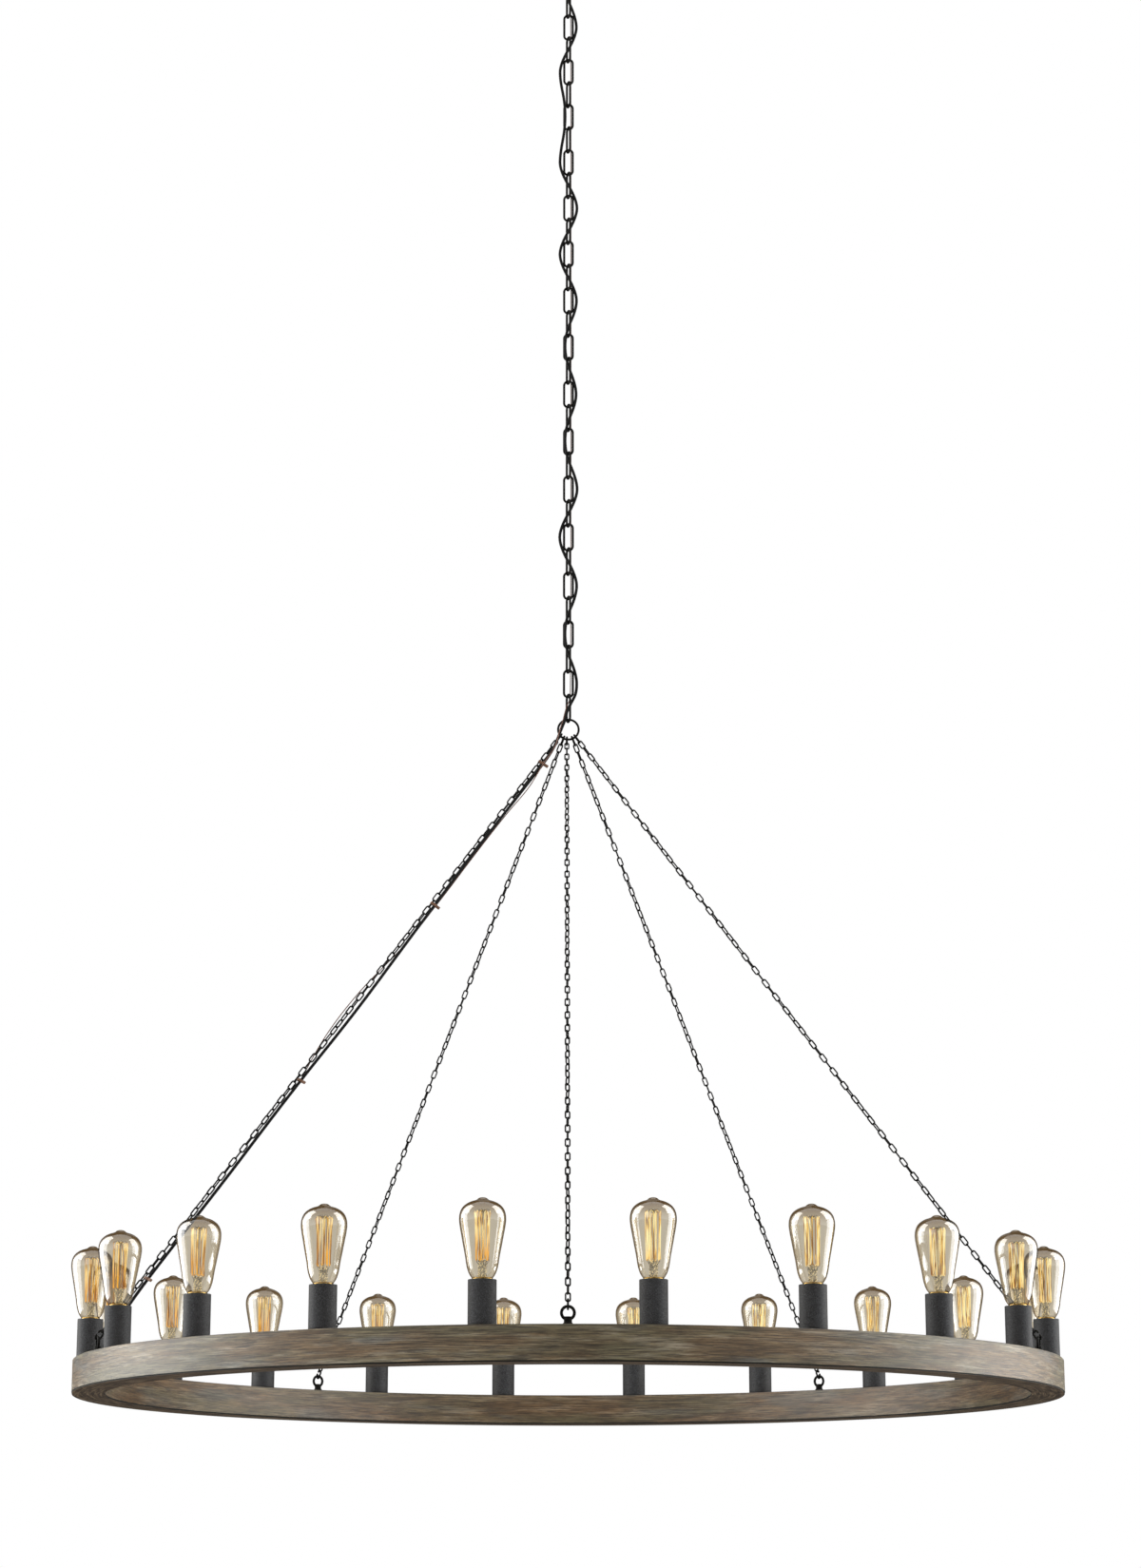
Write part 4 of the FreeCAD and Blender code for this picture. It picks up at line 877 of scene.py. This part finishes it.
# %% Cord points beside the left chain
cord_run = [
    (0.018, 3.4, 6.6), (0.033, 5.3, 4.2), (0.048, 5.8, 3.5), (0.080, 5.6, 3.8), (0.125, 5.3, 4.2),
    (0.175, 4.9, 4.7), (0.225, 5.0, 4.6), (0.265, 5.5, 4.0), (0.296, 6.0, 2.9), (0.335, 6.4, 2.6),
    (0.380, 7.3, 2.2), (0.425, 8.3, 1.6), (0.470, 8.9, 1.0), (0.515, 8.4, 0.6), (0.558, 7.2, 0.4),
    (0.594, 6.6, 0.2), (0.640, 6.5, 1.0), (0.685, 6.9, 1.6), (0.730, 7.4, 1.4), (0.775, 7.2, 0.8),
    (0.820, 6.7, 0.9), (0.865, 6.5, 1.6), (0.909, 6.5, 2.2), (0.938, 7.4, 3.4), (0.968, 10.0, 7.5),
]
wire_run = [
    (0.018, 5.0, 9.2), (0.034, 6.3, 7.6), (0.048, 6.0, 7.2), (0.066, 8.8, 5.6), (0.085, 11.2, 4.6),
    (0.105, 10.6, 3.4), (0.130, 8.4, 2.6), (0.175, 7.7, 3.2), (0.225, 7.8, 3.4), (0.265, 8.2, 2.0),
    (0.296, 7.6, -0.4), (0.335, 7.4, -1.6), (0.370, 5.0, -4.4), (0.400, 0.5, -6.2),
    (0.430, -4.2, -4.6), (0.460, -6.2, -1.8), (0.490, -6.9, -0.6), (0.520, -6.0, -2.4),
    (0.550, -2.6, -5.4), (0.575, 2.6, -5.5), (0.594, 5.8, -4.2), (0.640, 6.6, -2.2),
    (0.685, 7.0, -1.5), (0.730, 7.5, -1.7), (0.775, 7.3, -2.3), (0.820, 6.8, -2.2), (0.865, 6.9, -1.6),
    (0.909, 7.6, -1.4), (0.938, 8.6, -0.4), (0.968, 11.4, 3.6),
]
grommet_past_eye = 17
grommet_radius = 733
cord_aside, wire_aside = 0.9, -2.0
entry_rise, junction_rise = 16, 22
grommet_turn = math.radians(left_eye) + grommet_past_eye / eye_radius
grommet = Vector((math.sin(grommet_turn) * grommet_radius, -math.cos(grommet_turn) * grommet_radius, 0))
grommet_side = Vector((math.cos(grommet_turn), math.sin(grommet_turn), 0))
junction_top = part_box("ring_cover")[1].z / mm + junction_rise
for points, run, aside in ((cord_points, cord_run, cord_aside), (wire_points, wire_run, wire_aside)):
    entry = grommet + grommet_side * aside
    points += [by_chain(*spot) for spot in run]
    points += [(entry.x, entry.y, ring_top + entry_rise), (entry.x, entry.y, junction_top)]
print("cord points", len(cord_points), "wire points", len(wire_points))

# %% Cords as tubes, cut between the joints


def cord_tube(points, radius):
    """A bmesh tube along the NURBS line of the points."""
    curve = new_curve(radius, 2)
    curve.resolution_u = 6
    spline = curve.splines.new("NURBS")
    spline.points.add(len(points) - 1)
    for point, place in zip(spline.points, points):
        point.co = (*(Vector(place) * mm), 1)
    spline.order_u = 3
    spline.use_endpoint_u = True
    tube = bmesh.new()
    tube.from_mesh(mesh_of(curve))
    bmesh.ops.remove_doubles(tube, verts=tube.verts, dist=merge_distance)
    return tube


def stretch_of(tube, top, bottom):
    """The part of a tube between two heights in metres, with closed ends."""
    part = tube.copy()
    for height, way in ((top, 1), (bottom, -1)):
        everything = part.verts[:] + part.edges[:] + part.faces[:]
        cut = bmesh.ops.bisect_plane(part, geom=everything, plane_co=(0, 0, height), plane_no=(0, 0, way),
                                     clear_outer=True)
        rim = [edge for edge in cut["geom_cut"] if isinstance(edge, bmesh.types.BMEdge)]
        bmesh.ops.holes_fill(part, edges=rim)
    return finished(part)


# name, top and bottom in metres, its half of the solid cord, its bodies, and the heights of the joint it spans,
# or None
stretches = [
    ("loop", 0.0, -0.092, "chain", ("loop", "first_link"), (-0.060, -0.086)),
    ("top", -0.092, -0.140, "chain", ("first_link", "chain"), (-0.102, -0.128)),
    ("chain", -0.140, -1.340, "chain", ("chain",), None),
    ("low", -1.340, -1.387, "chain", ("chain", "last_link"), (-1.352, -1.382)),
    ("hub", -1.387, -1.440, "wheel", ("last_link", "wheel"), (-1.392, -1.430)),
    ("wheel", -1.440, -2.600, "wheel", ("wheel",), None),
]
for name, points, radius, slot in (("supply_cord", cord_points, supply_cord_radius, "cord_black"),
                                   ("ground_wire", wire_points, ground_wire_radius, "wire_brown")):
    tube = cord_tube(points, radius)
    for part, top, bottom, half, bodies, bend in stretches:
        made = piece(name + "_at_" + part, stretch_of(tube, top, bottom), slot)
        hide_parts(name + "_" + half)
        if bend is None:
            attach(made, bodies[0])
        else:
            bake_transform(made)
    tube.free()
    print(name, "in", len(stretches), "stretches")

# %% [markdown]
# Studio
# The photograph shows the light on pure white. More light could bleach the ground, but it would bleach the
# object too. A white world that only the camera, mirrors and clear things see at full strength gives that
# ground, while plain surfaces get a softer share of it.

# %% World
plain_share = 0.42
world = bpy.data.worlds.new("studio")
world.use_nodes = True
scene.world = world
sky = Nodes(world.node_tree)
camera_ray, glossy_ray, clear_ray = [sky.node("ShaderNodeLightPath", output="Is %s Ray" % kind)
                                     for kind in ("Camera", "Glossy", "Transmission")]
seen = camera_ray.or_larger(glossy_ray.or_larger(clear_ray))
level = sky.node("ShaderNodeMapRange", None, {"Value": seen, "To Min": plain_share, "To Max": 1.0})
backdrop = sky.tree.nodes["Background"]
sky.feed(backdrop.inputs["Color"], grey(1.0))
sky.feed(backdrop.inputs["Strength"], level)
print("world ready")

# %% [markdown]
# The floor
# It lies below the picture and keeps the object's shadow. From above it fills the view, so the camera sees it
# with a little glow, nearly as pale as the white ground. From below it is clear, so that it hides nothing.

# %% Floor
floor_height = -4.2
floor_reach = 30.0
floor_shape = bmesh.new()
bmesh.ops.create_grid(floor_shape, x_segments=1, y_segments=1, size=floor_reach,
                      matrix=Matrix.Translation((0, 0, floor_height)))
floor = bpy.data.objects.new("floor", finished(floor_shape))
floor_paint = Finish("floor", Roughness=0.9, Emission_Strength=1.0)
speck = floor_paint.noise(floor_paint.vector(*floor_paint.point()), 3.0)
pale = floor_paint.ramp(speck, (0.3, grey(0.86)), (0.7, grey(0.90)))
seen_by_camera = floor_paint.node("ShaderNodeLightPath", output="Is Camera Ray")
glow = floor_paint.mixed(seen_by_camera * plain_share, grey(0.0), pale)
floor_paint.set(Base_Color=pale, Emission_Color=glow)
underside = floor_paint.node("ShaderNodeNewGeometry", output="Backfacing")
floor_paint.show(floor_paint.layered(underside, floor_paint.body(), floor_paint.clear(grey(1.0))))
floor.data.materials.append(floor_paint.material)
scene.collection.objects.link(floor)
print("floor ready")

# %% [markdown]
# Three soft lights
# Two tall lights beside the object make the pale ends of the wood, and a third, weak and wide, fills the front.
# A lamp that is a point would draw hard shadows, so each is a bright area. The sides are a little cooler than
# the front, as in the photograph.

# %% Lights


def softbox(name, azimuth, distance, height, width, tall, power, tint):
    """A soft light that looks at the ring's axis. Azimuth 0 is in front, and grows to the right."""
    light = bpy.data.lights.new(name, "AREA")
    light.shape = "RECTANGLE"
    light.size = width
    light.size_y = tall
    light.energy = power
    light.color = tint
    turn = math.radians(azimuth)
    lamp = bpy.data.objects.new(name, light)
    lamp.location = (math.sin(turn) * distance, -math.cos(turn) * distance, height)
    aim = Vector((0, 0, ring_middle + 0.1)) - lamp.location
    lamp.rotation_euler = aim.to_track_quat("-Z", "Y").to_euler()
    scene.collection.objects.link(lamp)


cool_white = (0.95, 0.99, 1.05)
warm_white = (1.05, 1.00, 0.92)
softbox("left light", -78, 2.7, -2.0, 1.2, 2.6, 25, cool_white)
softbox("right light", 78, 2.7, -2.0, 1.2, 2.6, 25, cool_white)
softbox("front light", -20, 4.5, -1.2, 2.6, 1.8, 14, warm_white)

# %% [markdown]
# Cards
# Glass shows what stands round it. White cards beside the object make the bright shoulders of the lamps, and
# dark ones behind it, above and behind the camera make their brown outline, their dark domes and the deep
# colour round the filament. They could be lamps, but those would light the wood as well. Only mirrors see the
# cards, so they change nothing else.

# %% Cards that only mirrors see
card_white = colour(1.0, 0.985, 0.95)
side_distance = 3.0


def card(name, azimuth, distance, width, low, high, strength):
    """An upright card that looks at the ring's axis: the lower its strength, the darker it is."""
    shape = bmesh.new()
    turn = math.radians(azimuth)
    upright = Matrix.Rotation(turn, 4, "Z") @ Matrix.Rotation(math.pi / 2, 4, "X")
    place = Matrix.Translation((math.sin(turn) * distance, -math.cos(turn) * distance, (low + high) / 2))
    size = Matrix.Diagonal((width / 2, (high - low) / 2, 1, 1))
    bmesh.ops.create_grid(shape, x_segments=1, y_segments=1, size=1, matrix=place @ upright @ size)
    made = bpy.data.objects.new(name, finished(shape))
    paint = Finish(name, Base_Color=grey(0.0), Emission_Color=card_white, Emission_Strength=strength)
    made.data.materials.append(paint.material)
    scene.collection.objects.link(made)
    made.visible_camera = made.visible_diffuse = made.visible_shadow = False


for side, way in (("left", -1), ("right", 1)):
    card(side + " low card", way * 101, side_distance, 1.5, -3.3, -1.3, 5.8)
    card(side + " high card", way * 88, side_distance, 2.8, -1.3, 2.6, 5.0)
    card(side + " dark card", way * 148, side_distance, 2.3, -3.6, 3.0, 0.0)
card("back dark card", 180, 3.2, 4.0, -1.2, 4.6, 0.20)
card("front dark card", 0, 6.4, 5.0, -4.1, 2.4, 0.15)
